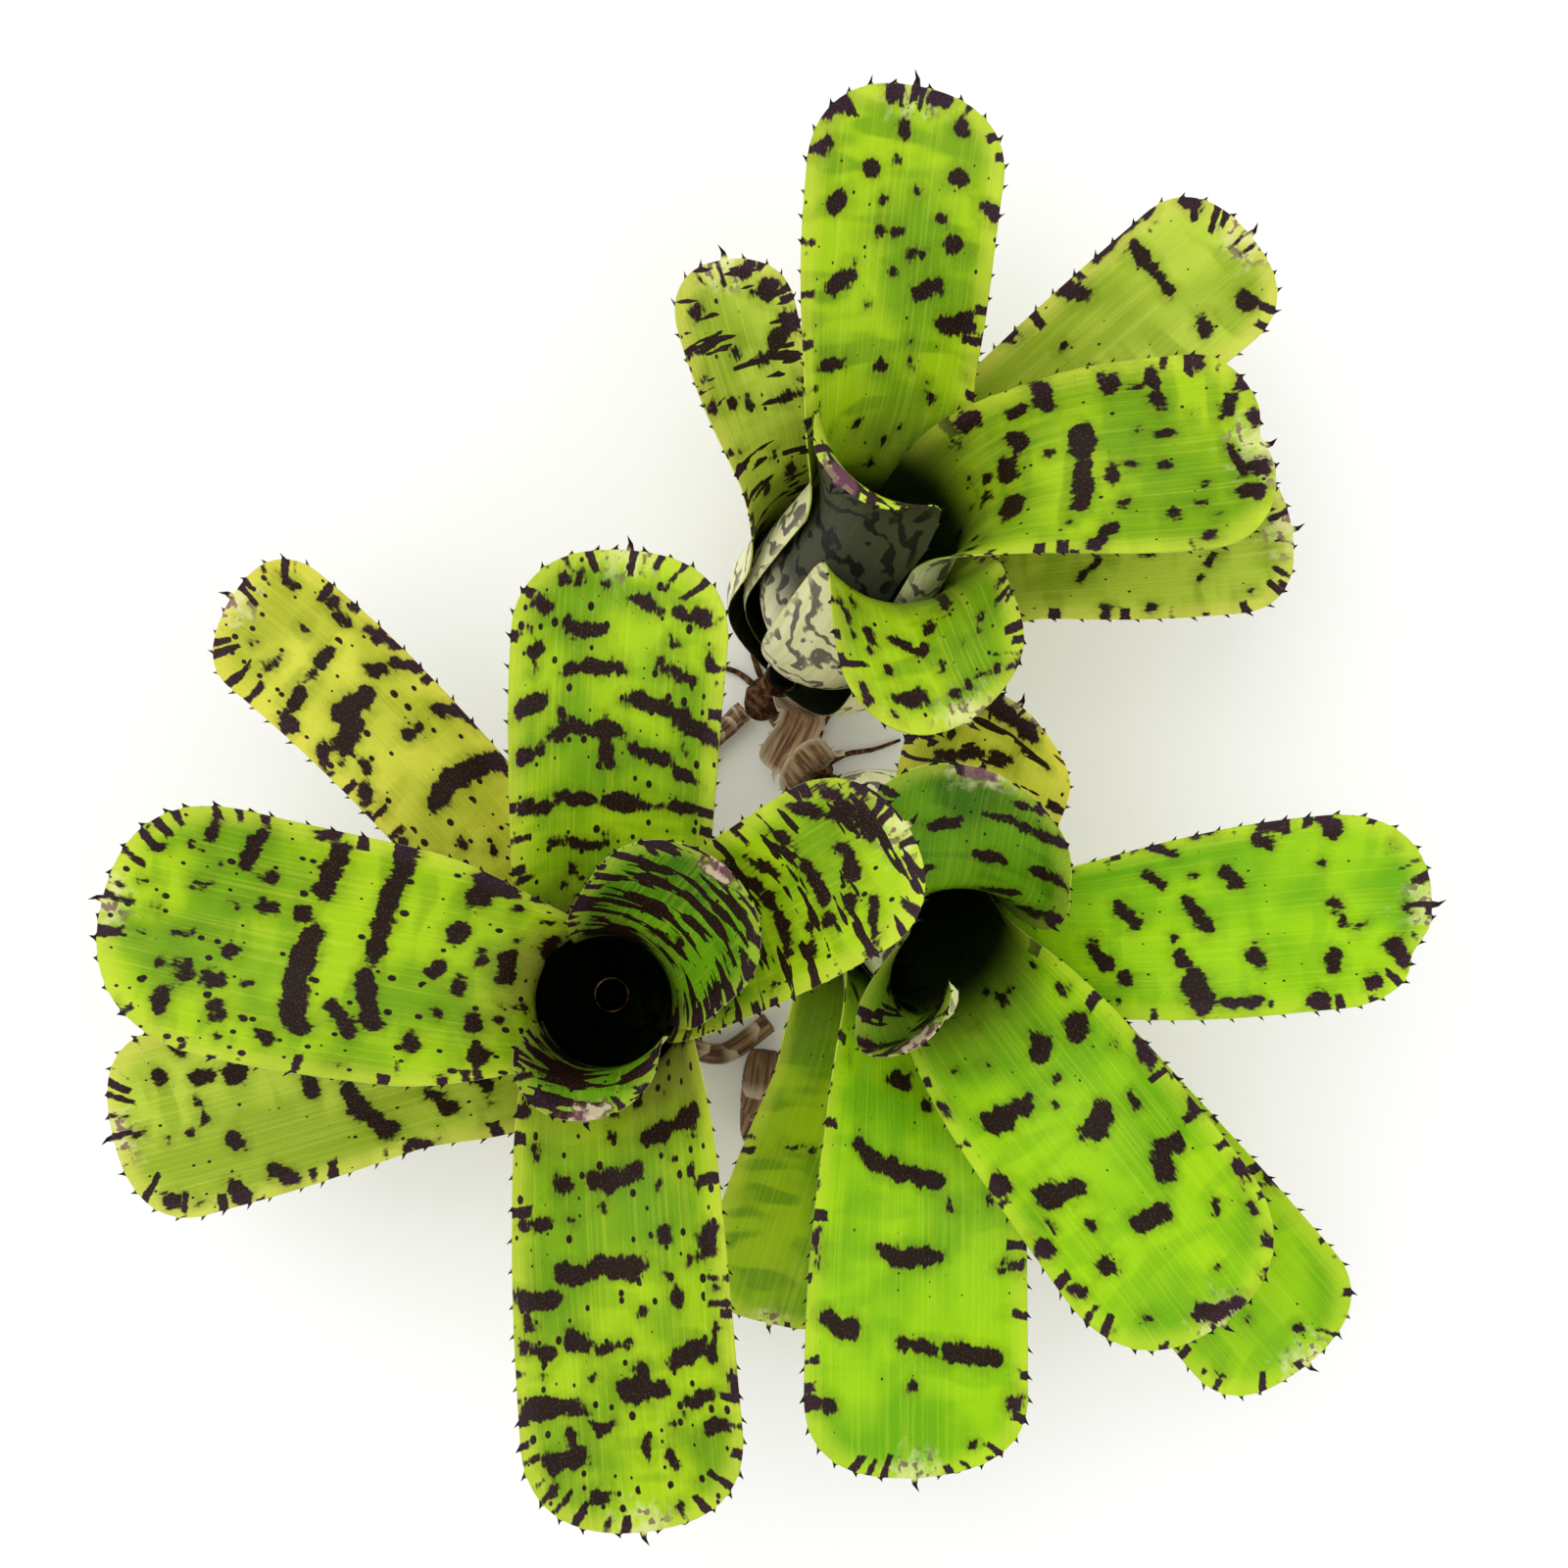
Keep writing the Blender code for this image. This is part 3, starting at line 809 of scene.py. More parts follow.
@dataclass(frozen=True)
class LeafSkin:
    """The glistening, waxy skin of a living leaf: lime above with maroon marks, silvery and banded below.

    Attributes:
        name: the material's name.
        marks: how this leaf is marked.
        seed: this leaf's own place in each noise.
    """

    name: str
    marks: Marks
    seed: float

    MAROON = paint(30, 8, 10)
    PLUM = paint(44, 20, 36)
    SPINE = paint(20, 8, 8)
    OLIVE = paint(150, 136, 60)
    WORN = paint(226, 224, 168)
    DEAD = paint(206, 190, 158)
    BURNT = paint(92, 62, 50)
    DUSK = paint(110, 66, 84)
    SILVER = paint(250, 246, 206)
    MOSS = paint(212, 216, 124)
    SLATE = paint(84, 74, 84)
    # Painted shade: the near-black green that stands in for the shade deep in the cups and in dark gaps.
    PAINTED_SHADE = paint(2, 14, 4)
    HALO = paint(84, 104, 8)

    # The ground of the upper side, from the lowest layer up, and how far in each tint reaches. The
    # last is painted shade, which darkens the leaf towards the bottom of its cup.
    DRIFT = Grain(0.045, 0.035, low=0.38, high=0.68)
    CLOUDS = Grain(0.05, 0.17, detail=1.0, shift=11.0, low=0.50, high=0.66)
    VEINS = Grain(1.6, 0.02, shift=2.0, low=0.45, high=0.75)
    FLECKS = Grain(0.5, 0.3, detail=3.0, shift=51.0)
    BRUISES = Grain(0.42, 0.34, shift=53.0, low=0.56, high=0.62)
    SCURF = Grain(2.6, 2.2, detail=1.0, shift=23.0, low=0.62, high=0.74)
    TORN = Grain(0.35, 0.28, detail=4.0, shift=31.0, low=0.45, high=0.6)
    VEIN_COVER = 0.22
    MARGIN_COVER = 0.55
    WORN_COVER = 0.6
    BRUISE_COVER = 0.8
    SCURF_COVER = 0.05
    BURNT_COVER = 0.8
    DEAD_COVER = 0.9
    CUP_SHADE_COVER = 0.97
    FOOT_FADE = (26.0, 2.0)
    FOOT_DRIFT = (0.30, 0.60)
    MARGIN_PALES = (5.0, 0.4)
    WORN_FADE = (10.0, 1.0)
    BRUISE_FADE = (3.0, -2.0)
    FLECK_REACH = 16.0
    TEAR_REACH = 9.0
    BURNT_WIDTH = 1.6
    DEAD_FADE = 1.2
    CUP_SHADE_FADE = 9.0

    # The maroon marks. Lengths are millimetres; a ragged edge strays by its strokes and its lumps.
    # A level or a size is what it is with none of the leaf's share of it, and what a full share adds.
    STROKES = Grain(1.7, 0.42, detail=3.0, shift=7.0)
    LUMPS = Grain(0.34, 0.26, shift=9.0)
    STRIPES = Grain(0.07, 0.32, shift=13.0)
    DOTS = Grain(0.30, 0.22, shift=17.0)
    BLOTCHES = Grain(1.0 / RIM_PITCH, 1.0, shift=19.0)
    FLUSH = Grain(0.22, 0.22, detail=3.0, shift=29.0, low=0.8, high=1.1)
    STROKE_REACH = 1.5
    LUMP_REACH = 3.4
    MARK_EDGE = (-0.4, 0.3)
    HALO_EDGE = (-2.6, 0.1)
    PLUM_FADE = (1.0, 5.0)
    STRIPE_LEVEL = (0.68, -0.22)
    STRIPE_EDGE = 0.012
    STRIPE_STRAY = 0.022
    DOT_SIZE = (-0.29, 0.22)
    DOT_VARIETY = 0.36
    DOT_EDGE = (-0.01, 0.03)
    BLOTCH_SIZE = (-0.9, 2.2)
    BLOTCH_TIP_FADE = (30.0, 8.0)
    BLOTCH_TIP_GROWTH = 1.6
    BLOTCHES_BEGIN = (2.0, 12.0)
    BLOTCH_EDGE = (-0.2, 0.35)
    BLOTCH_STRAY = 0.6
    BLOTCH_STEEPNESS = 1.6
    MARK_COVER = 0.99
    HALO_COVER = 0.34
    FLUSH_COVER = 0.85

    # The underside: slanting bands, so many radians to the millimetre, over a streaked ground.
    WARP = Grain(0.06, 0.05, detail=3.0, shift=37.0)
    FRAY = Grain(0.34, 0.22, detail=3.0, shift=41.0)
    STREAKS = Grain(0.9, 0.03, shift=43.0, low=0.4, high=0.7)
    BAND_TURN = 0.72
    BAND_SLANT = 0.2
    BAND_WARP = 30.0
    BAND_FRAY = 2.6
    BAND_EDGE = (0.25, 0.75)
    MOSS_FADE = (-25.0, 50.0)
    SHADOW_FADE = (-30.0, -12.0)
    UNDER_MARGIN_PALES = (2.5, 0.3)
    STREAK_COVER = 0.35
    BAND_COVER = 0.88
    UNDER_MARGIN_COVER = 0.6

    # The surface itself, and how the two sides and the spines meet.
    PORES = Grain(2.2, 1.6, detail=1.0)
    RIBS = Grain(1.1, 0.015, detail=1.0, shift=3.0)
    DIMPLES = Grain(0.16, 0.10, detail=1.0, shift=5.0)
    PORE_DEPTH = 0.35
    RIB_DEPTH = 0.5
    DIMPLE_DEPTH = 1.4
    RELIEF = 0.22
    ROUGHNESS = 0.26
    PORE_ROUGHNESS = 0.22
    SPECULAR = 0.10
    SIDES_MEET = (-0.95, -0.6)
    SPINE_DARKENS = (0.0, 0.35)

    def material(self) -> bpy.types.Material:
        """Builds the whole skin.

        Returns:
            The material.
        """
        sheet = NodeSheet(self.name)
        plan = sheet.attribute("leaf_plan")
        across, along, _ = sheet.split(plan)
        run, edge, tip = sheet.split(sheet.attribute("leaf_rim"))
        mark, spine, side = sheet.split(sheet.attribute("leaf_mark"))
        spot = LeafPlace(plan, across, along, run, edge, tip, mark)
        above = sheet.step(side, *self.SIDES_MEET)
        colour = sheet.mix(above, self.under(sheet, spot), self.upper(sheet, spot))
        colour = sheet.mix(sheet.step(spine, *self.SPINE_DARKENS), colour, self.SPINE)
        pores = sheet.noise(plan, self.PORES, self.seed)
        ribs = sheet.times(sheet.noise(plan, self.RIBS, self.seed), self.RIB_DEPTH)
        dimples = sheet.times(sheet.noise(plan, self.DIMPLES, self.seed), self.DIMPLE_DEPTH)
        relief = sheet.add(sheet.times(pores, self.PORE_DEPTH), sheet.add(ribs, dimples))
        sheet.bump(relief, self.RELIEF)
        roughness = sheet.add(self.ROUGHNESS, sheet.times(pores, self.PORE_ROUGHNESS))
        return sheet.finish(colour, roughness, self.SPECULAR)

    def upper(self, sheet: NodeSheet, spot: LeafPlace) -> Socket:
        """Colours the side that faces the light.

        Args:
            sheet: the material being built.
            spot: the shaded point.

        Returns:
            The colour.
        """
        marks = self.marks
        middle, shade, margin = marks.tone.value
        drift = sheet.noise(spot.plan, self.DRIFT, self.seed)
        colour = sheet.mix(sheet.step(drift, self.DRIFT.low, self.DRIFT.high), middle, shade)
        clouds = sheet.patches(spot.plan, self.CLOUDS, self.seed)
        colour = sheet.cover(clouds, marks.clouds, colour, shade)
        veins = sheet.patches(spot.plan, self.VEINS, self.seed)
        colour = sheet.cover(veins, self.VEIN_COVER, colour, margin)
        foot = sheet.times(sheet.step(spot.along, *self.FOOT_FADE), sheet.step(drift, *self.FOOT_DRIFT))
        colour = sheet.cover(foot, marks.blush, colour, self.OLIVE)
        pale = sheet.step(spot.edge, *self.MARGIN_PALES)
        colour = sheet.cover(pale, self.MARGIN_COVER, colour, margin)
        flecks = sheet.times(sheet.noise(spot.plan, self.FLECKS, self.seed), self.FLECK_REACH)
        worn = sheet.step(sheet.add(spot.tip, flecks), *(marks.tip + end for end in self.WORN_FADE))
        colour = sheet.cover(worn, self.WORN_COVER, colour, self.WORN)
        near_tip = sheet.step(spot.tip, *(marks.tip + end for end in self.BRUISE_FADE))
        bruised = sheet.times(sheet.patches(spot.plan, self.BRUISES, self.seed), near_tip)
        colour = sheet.cover(bruised, self.BRUISE_COVER, colour, self.DUSK)
        colour = self.pigment(sheet, colour, spot)
        scurf = sheet.patches(spot.plan, self.SCURF, self.seed)
        colour = sheet.cover(scurf, self.SCURF_COVER, colour, self.WORN)
        if marks.scar > 0.0:
            colour = self.scarred(sheet, colour, spot)
        # Painted shade: the upper side darkens towards the bottom of the cup, where little light reaches.
        cup_shade = sheet.step(spot.along, marks.cup_shade + self.CUP_SHADE_FADE, marks.cup_shade - self.CUP_SHADE_FADE)
        return sheet.cover(cup_shade, self.CUP_SHADE_COVER, colour, self.PAINTED_SHADE)

    def pigment(self, sheet: NodeSheet, colour: Socket, spot: LeafPlace) -> Socket:
        """Lays the maroon bands, stripes, dots and margin blotches over the ground colour.

        Args:
            sheet: the material being built.
            colour: the ground colour.
            spot: the shaded point.

        Returns:
            The marked colour.
        """
        strokes = sheet.away(sheet.noise(spot.plan, self.STROKES, self.seed), self.STROKE_REACH)
        lumps = sheet.away(sheet.noise(spot.plan, self.LUMPS, self.seed), self.LUMP_REACH)
        ragged = sheet.add(strokes, lumps)
        bold = sheet.add(spot.mark, ragged)
        dark = sheet.step(bold, *self.MARK_EDGE)
        if self.marks.stripes > 0.0:
            dark = sheet.most(dark, self.striped(sheet, spot, ragged))
        if self.marks.dots > 0.0:
            dark = sheet.most(dark, self.dotted(sheet, spot))
        dark = sheet.most(dark, self.blotched(sheet, spot, ragged))
        colour = sheet.cover(sheet.step(bold, *self.HALO_EDGE), self.HALO_COVER, colour, self.HALO)
        pigment = sheet.mix(sheet.step(spot.edge, *self.PLUM_FADE), self.PLUM, self.MAROON)
        colour = sheet.cover(dark, self.MARK_COVER, colour, pigment)
        if self.marks.dusk > 0.0:
            flush = sheet.noise(spot.plan, self.FLUSH, self.seed)
            flush = sheet.add(flush, sheet.step(spot.tip, self.marks.dusk, 0.0))
            flush = sheet.step(flush, self.FLUSH.low, self.FLUSH.high)
            colour = sheet.cover(flush, self.FLUSH_COVER, colour, self.DUSK)
        return colour

    def striped(self, sheet: NodeSheet, spot: LeafPlace, ragged: Socket) -> Socket:
        """Fine broken stripes across the leaf.

        Args:
            sheet: the material being built.
            spot: the shaded point.
            ragged: how far the outline of a mark strays, in millimetres.

        Returns:
            How dark they are, from nought to one.
        """
        stripes = sheet.noise(spot.plan, self.STRIPES, self.seed)
        stripes = sheet.add(stripes, sheet.times(ragged, self.STRIPE_STRAY))
        least, more = self.STRIPE_LEVEL
        level = least + more * self.marks.stripes
        return sheet.step(stripes, level, level + self.STRIPE_EDGE)

    def dotted(self, sheet: NodeSheet, spot: LeafPlace) -> Socket:
        """Scattered dots, each with its own size.

        Args:
            sheet: the material being built.
            spot: the shaded point.

        Returns:
            How dark they are, from nought to one.
        """
        near, chance = sheet.cells(spot.plan, self.DOTS, self.seed)
        least, more = self.DOT_SIZE
        size = sheet.add(sheet.times(chance, self.DOT_VARIETY), least + more * self.marks.dots)
        return sheet.step(sheet.add(size, sheet.times(near, -1.0)), *self.DOT_EDGE)

    def blotched(self, sheet: NodeSheet, spot: LeafPlace, ragged: Socket) -> Socket:
        """Blunt bars that reach in from the margin, longer towards the tip.

        Args:
            sheet: the material being built.
            spot: the shaded point.
            ragged: how far the outline of a mark strays, in millimetres.

        Returns:
            How dark they are, from nought to one.
        """
        near, chance = sheet.cells(sheet.lift(spot.run), self.BLOTCHES, self.seed)
        least, more = self.BLOTCH_SIZE
        reach = sheet.add(sheet.times(chance, RIM_REACH), least + more * self.marks.rim)
        near_tip = sheet.step(spot.tip, *self.BLOTCH_TIP_FADE)
        longer = sheet.times(near_tip, self.BLOTCH_TIP_GROWTH * self.marks.rim)
        deep = sheet.add(sheet.add(reach, longer), sheet.times(spot.edge, -1.0))
        steep = self.BLOTCH_STEEPNESS
        wide = sheet.add(RIM_HALF_WIDTH * steep, sheet.times(near, -steep * RIM_PITCH))
        bar = sheet.add(sheet.least(deep, wide), sheet.times(ragged, self.BLOTCH_STRAY))
        on_blade = sheet.step(spot.along, *self.BLOTCHES_BEGIN)
        return sheet.times(sheet.step(bar, *self.BLOTCH_EDGE), on_blade)

    def scarred(self, sheet: NodeSheet, colour: Socket, spot: LeafPlace) -> Socket:
        """Dead tissue at the tip: pale and papery, with a burnt line where it meets the living leaf.

        Args:
            sheet: the material being built.
            colour: the living colour.
            spot: the shaded point.

        Returns:
            The colour with the scar.
        """
        scar = self.marks.scar
        torn = sheet.noise(spot.plan, self.TORN, self.seed)
        depth = sheet.add(spot.tip, sheet.away(torn, self.TEAR_REACH))
        burnt = sheet.step(depth, scar + self.BURNT_WIDTH, scar)
        colour = sheet.cover(burnt, self.BURNT_COVER, colour, self.BURNT)
        streaks = sheet.mix(sheet.step(torn, self.TORN.low, self.TORN.high), self.DEAD, self.DUSK)
        dead = sheet.step(depth, scar, scar - self.DEAD_FADE)
        return sheet.cover(dead, self.DEAD_COVER, colour, streaks)

    def under(self, sheet: NodeSheet, spot: LeafPlace) -> Socket:
        """Colours the side that faces down: silvery, with slanting grey-purple bands and painted shade.

        Args:
            sheet: the material being built.
            spot: the shaded point.

        Returns:
            The colour.
        """
        warp = sheet.times(sheet.noise(spot.plan, self.WARP, self.seed), self.BAND_WARP)
        slant = sheet.add(warp, sheet.times(spot.across, self.BAND_SLANT))
        wave = sheet.math("SINE", sheet.add(sheet.times(spot.along, self.BAND_TURN), slant))
        fray = sheet.away(sheet.noise(spot.plan, self.FRAY, self.seed), self.BAND_FRAY)
        bands = sheet.step(sheet.add(wave, fray), *self.BAND_EDGE)
        ground = sheet.mix(sheet.step(spot.along, *self.MOSS_FADE), self.SILVER, self.MOSS)
        streaks = sheet.patches(spot.plan, self.STREAKS, self.seed)
        ground = sheet.cover(streaks, self.STREAK_COVER, ground, self.MOSS)
        colour = sheet.cover(bands, self.BAND_COVER, ground, self.SLATE)
        pale = sheet.step(spot.edge, *self.UNDER_MARGIN_PALES)
        colour = sheet.cover(pale, self.UNDER_MARGIN_COVER, colour, self.WORN)
        # Painted shade: the underside darkens from a little below the rim outwards, as strongly as the marks'
        # shadow asks.
        shadow = sheet.step(spot.along, *self.SHADOW_FADE)
        return sheet.cover(shadow, self.marks.shadow, colour, self.PAINTED_SHADE)


@dataclass(frozen=True)
class PaperSkin:
    """Dry papery scale: thin, fibrous and brown, bleached where it is thinnest.

    Attributes:
        name: the material's name.
        light, dark, bleach: its fibres, the ground between them, and its thin margin.
    """

    name: str
    light: Rgba = paint(196, 166, 132)
    dark: Rgba = paint(118, 84, 62)
    bleach: Rgba = paint(222, 208, 184)

    FIBRES = Grain(0.9, 0.05, detail=3.0, shift=1.0, low=0.35, high=0.65)
    BLOTS = Grain(0.12, 0.10, detail=3.0, shift=2.0, low=0.45, high=0.7)
    BLOT_COVER = 0.6
    MARGIN_PALES = (2.2, 0.2)
    MARGIN_COVER = 0.6
    BLOT_DEPTH = 0.6
    RELIEF = 0.3
    ROUGHNESS = 0.62
    BLOT_ROUGHNESS = 0.25

    def material(self) -> bpy.types.Material:
        """Builds the finish from the piece's own leaf_plan and leaf_rim.

        Returns:
            The material.
        """
        sheet = NodeSheet(self.name)
        plan = sheet.attribute("leaf_plan")
        edge = sheet.split(sheet.attribute("leaf_rim"))[1]
        fibres = sheet.noise(plan, self.FIBRES)
        blots = sheet.noise(plan, self.BLOTS)
        colour = sheet.mix(sheet.step(fibres, self.FIBRES.low, self.FIBRES.high), self.dark, self.light)
        blotted = sheet.step(blots, self.BLOTS.low, self.BLOTS.high)
        colour = sheet.cover(blotted, self.BLOT_COVER, colour, self.dark)
        colour = sheet.cover(sheet.step(edge, *self.MARGIN_PALES), self.MARGIN_COVER, colour, self.bleach)
        sheet.bump(sheet.add(fibres, sheet.times(blots, self.BLOT_DEPTH)), self.RELIEF)
        return sheet.finish(colour, sheet.add(self.ROUGHNESS, sheet.times(blots, self.BLOT_ROUGHNESS)))


@dataclass(frozen=True)
class WoodSkin:
    """The corky brown skin of a short stem and its wiry roots, with painted shade where it stands in its cup.

    Attributes:
        name: the material's name.
        light, dark, stem_shade: its flecks, the ground between them, and painted shade inside the cup.
    """

    name: str
    light: Rgba = paint(120, 88, 60)
    dark: Rgba = paint(50, 32, 22)
    stem_shade: Rgba = paint(4, 10, 4)

    FLECKS = Grain(0.7, 0.7, 0.7, detail=4.0, shift=1.0, low=0.38, high=0.64)
    PATCHES = Grain(0.14, 0.14, 0.14, shift=4.0, low=0.45, high=0.65)
    PATCH_COVER = 0.5
    STEM_SHADE_FROM = (5.0, 10.0)
    RELIEF = 0.35
    ROUGHNESS = 0.7
    FLECK_ROUGHNESS = 0.2
    SPECULAR = 0.02

    def material(self) -> bpy.types.Material:
        """Builds the finish from the piece's place.

        Returns:
            The material.
        """
        sheet = NodeSheet(self.name)
        place = sheet.place()
        flecks = sheet.noise(place, self.FLECKS)
        colour = sheet.mix(sheet.step(flecks, self.FLECKS.low, self.FLECKS.high), self.dark, self.light)
        colour = sheet.cover(sheet.patches(place, self.PATCHES), self.PATCH_COVER, colour, self.dark)
        # Painted shade: the stem turns near black from a little above the ground up, inside the shade of its
        # cup.
        colour = sheet.mix(sheet.step(sheet.split(place)[2], *self.STEM_SHADE_FROM), colour, self.stem_shade)
        sheet.bump(flecks, self.RELIEF)
        roughness = sheet.add(self.ROUGHNESS, sheet.times(flecks, self.FLECK_ROUGHNESS))
        return sheet.finish(colour, roughness, self.SPECULAR)


def slab(rows: int, columns: int) -> bmesh.types.BMesh:
    """Makes a flat grid.

    Args:
        rows: how many rows of points it has.
        columns: how many points each row has.

    Returns:
        The grid, whose points hold (share across from -1 to 1, row number, 0).
    """
    mesh = bmesh.new()
    bmesh.ops.create_grid(mesh, x_segments=columns, y_segments=rows - 1, size=1.0)
    for vert in mesh.verts:
        vert.co.y = round((vert.co.y + 1.0) * 0.5 * (rows - 1))
    return mesh


def thicken(mesh: bmesh.types.BMesh) -> None:
    """Turns a flat pattern into a closed slab from -0.5 to 0.5 in z.

    Args:
        mesh: the pattern, which is changed.
    """
    bmesh.ops.recalc_face_normals(mesh, faces=mesh.faces[:])
    bmesh.ops.solidify(mesh, geom=mesh.faces[:], thickness=1.0)
    low = min(vert.co.z for vert in mesh.verts)
    for vert in mesh.verts:
        vert.co.z -= low + 0.5


def finish_piece(mesh: bmesh.types.BMesh, name: str, skin: bpy.types.Material) -> bpy.types.Object:
    """Makes a named object of a mesh that is in millimetres.

    Args:
        mesh: the shape, which is used up.
        name: the object's name.
        skin: its material.

    Returns:
        The object, at the origin, riding on the clump's one body.
    """
    bmesh.ops.scale(mesh, vec=(MM, MM, MM), verts=mesh.verts[:])
    bmesh.ops.recalc_face_normals(mesh, faces=mesh.faces[:])
    data = bpy.data.meshes.new(name)
    mesh.to_mesh(data)
    mesh.free()
    data.materials.append(skin)
    data.shade_smooth()
    data.set_sharp_from_angle(angle=math.radians(SHARP_ANGLE))
    made = bpy.data.objects.new(name, data)
    bpy.context.scene.collection.objects.link(made)
    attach(made, BODY)
    return made


class FineLeaf:
    """One leaf at full detail, in place of its plain solid."""

    def __init__(self, tank: Tank, leaf: Leaf) -> None:
        """Lays the leaf's middle line and chooses its marks.

        Args:
            tank: the cup that it grows from.
            leaf: the leaf.
        """
        self.leaf = leaf
        self.line = MidLine(tank, leaf)
        self.chance = random.Random(f"{SEED} {leaf.name}")
        self.phase = self.chance.uniform(0.0, 2 * math.pi)
        self.marks = self.place_marks()

    def rows(self) -> list[float]:
        """Lays out the rows of points, from the foot of the sheath to the end of the spine.

        Returns:
            The length along the leaf of each row.
        """
        line = self.line
        sheath = max(2, round(line.sheath_length / SHEATH_STEP))
        places = [-line.sheath_length * (1.0 - i / sheath) for i in range(sheath)]
        rounding = line.rounding()
        blade = max(2, round(rounding / BLADE_STEP))
        places += [rounding * i / blade for i in range(blade)]
        for i in range(TIP_ROWS + 1):
            places.append(blend(rounding, line.blade_length, math.sin(0.5 * math.pi * i / TIP_ROWS)))
        places += [line.blade_length + END_SPINE_LENGTH * share for share in END_SPINE_ROWS]
        return places

    def place_marks(self) -> list[Mark]:
        """Chooses the bold bands and the loose spots.

        Returns:
            For each mark its length along the leaf, its distance across, half its length, half its
            width, and its tilt in radians.
        """
        marks = self.leaf.marks
        half = self.leaf.width / 2
        found = [(*mark[:4], math.radians(mark[4])) for mark in SET_MARKS.get(self.leaf.name, ())]
        if not found and marks.pitch > 0.0:
            place = BANDS_FROM
            while place < self.line.blade_length - BANDS_SHORT_OF_TIP:
                place += marks.pitch * self.chance.uniform(*BAND_SPACINGS)
                for centre in self.band_centres():
                    reach = half * marks.length * self.chance.uniform(*BAND_LENGTHS)
                    width = marks.width * self.chance.uniform(*BAND_WIDTHS)
                    tilt = math.radians(self.chance.uniform(-BAND_TILT, BAND_TILT))
                    shift = self.chance.uniform(-BAND_SLIP, BAND_SLIP)
                    found.append((place + shift, centre * half, reach, width, tilt))
        for _ in range(marks.spots):
            along, across = self.clear_spot(found)
            size = self.chance.uniform(*SPOT_SIZES)
            found.append((along, across, size * self.chance.uniform(*SPOT_STRETCH), size, math.pi / 2))
        return found

    def clear_spot(self, found: list[Mark]) -> Plan:
        """Tries a few places on the blade and takes the one that stands clearest of the marks so far.

        Args:
            found: the marks so far.

        Returns:
            Length along the leaf, and distance across it.
        """
        half = self.leaf.width / 2
        tries = []
        for _ in range(SPOT_TRIES):
            along = self.chance.uniform(SPOTS_FROM, self.line.blade_length - SPOTS_SHORT_OF_TIP)
            across = self.chance.uniform(-SPOTS_ACROSS, SPOTS_ACROSS) * half
            room = [math.hypot(along - mark[0], across - mark[1]) - mark[2] for mark in found]
            tries.append((min(room, default=0.0), along, across))
        return max(tries)[1:]

    def band_centres(self) -> list[float]:
        """Chooses where the bands of one row sit: one long, two, or one to a side.

        Returns:
            The place of each across the leaf, from -1 to 1.
        """
        kind = self.chance.random()
        if kind < LONG_BANDS:
            return [self.chance.uniform(-0.2, 0.2)]
        if kind < LONG_OR_PAIRED_BANDS:
            return [self.chance.uniform(-0.75, -0.45), self.chance.uniform(0.35, 0.7)]
        return [self.chance.choice((-1, 1)) * self.chance.uniform(0.4, 0.8)]

    def mark_depths(self, across: np.ndarray, place: np.ndarray) -> np.ndarray:
        """How deep points lie inside their nearest mark; below nought outside all.

        Args:
            across: distances to the side of the middle line, in millimetres.
            place: lengths along the leaf.

        Returns:
            The depths in millimetres.
        """
        ahead = place + MARK_BOW * (across / (self.leaf.width / 2)) ** 2
        depth = np.full(len(across), NO_MARK)
        for along, centre, reach, width, tilt in self.marks:
            aside, up = across - centre, ahead - along
            turned = aside * math.cos(tilt) + up * math.sin(tilt)
            over = up * math.cos(tilt) - aside * math.sin(tilt)
            out = np.maximum(0.0, np.abs(turned) - max(reach - width, 0.0))
            depth = np.maximum(depth, width - np.hypot(out, over))
        return depth

    def pattern(self) -> bmesh.types.BMesh:
        """Cuts out the leaf laid flat, with its teeth and its end spine.

        Returns:
            A thin slab: x across, y along, z from -0.5 to 0.5.
        """
        places = self.rows()
        mesh = slab(len(places), COLUMNS)
        neck = len(places) - 2
        for vert in mesh.verts:
            row = round(vert.co.y)
            half = self.line.half_width(places[row])
            if row == neck:
                half *= END_SPINE_NECK
            vert.co.y = places[row]
            vert.co.x *= half
        end = places[-1]
        top = [vert for vert in mesh.verts if vert.co.y > end - END_SPINE_LENGTH * END_SPINE_CLOSES]
        bmesh.ops.pointmerge(mesh, verts=top, merge_co=(END_SPINE_ASIDE, end, 0.0))
        self.add_spines(mesh)
        thicken(mesh)
        return mesh

    def add_spines(self, mesh: bmesh.types.BMesh) -> None:
        """Draws margin edges out into small hooked teeth, a few millimetres apart.

        Args:
            mesh: the flat leaf, which is changed.
        """
        first = self.line.blade_length * SPINES_FROM
        margins = [e for e in mesh.edges if e.is_boundary and e.verts[0].co.y != e.verts[1].co.y]
        for sign in (-1.0, 1.0):
            edges = [e for e in margins if e.verts[0].co.x * sign > 0.0 and e.verts[1].co.x * sign > 0.0]
            edges.sort(key=lambda e: e.verts[0].co.y + e.verts[1].co.y)
            due = first
            run = 0.0
            for edge in edges:
                low, high = sorted(edge.verts, key=lambda vert: vert.co.y)
                if low.co.y < 0.0 or high.co.y > self.line.blade_length - SPINES_SHORT_OF_TIP:
                    continue
                run += edge.calc_length()
                if run < due or edge.calc_length() < SPINE_SHORTEST_FOOT:
                    continue
                due = run + SPINE_SPACING * (1.0 + self.chance.uniform(-SPINE_JITTER, SPINE_JITTER))
                self.grow_spine(mesh, edge, sign)

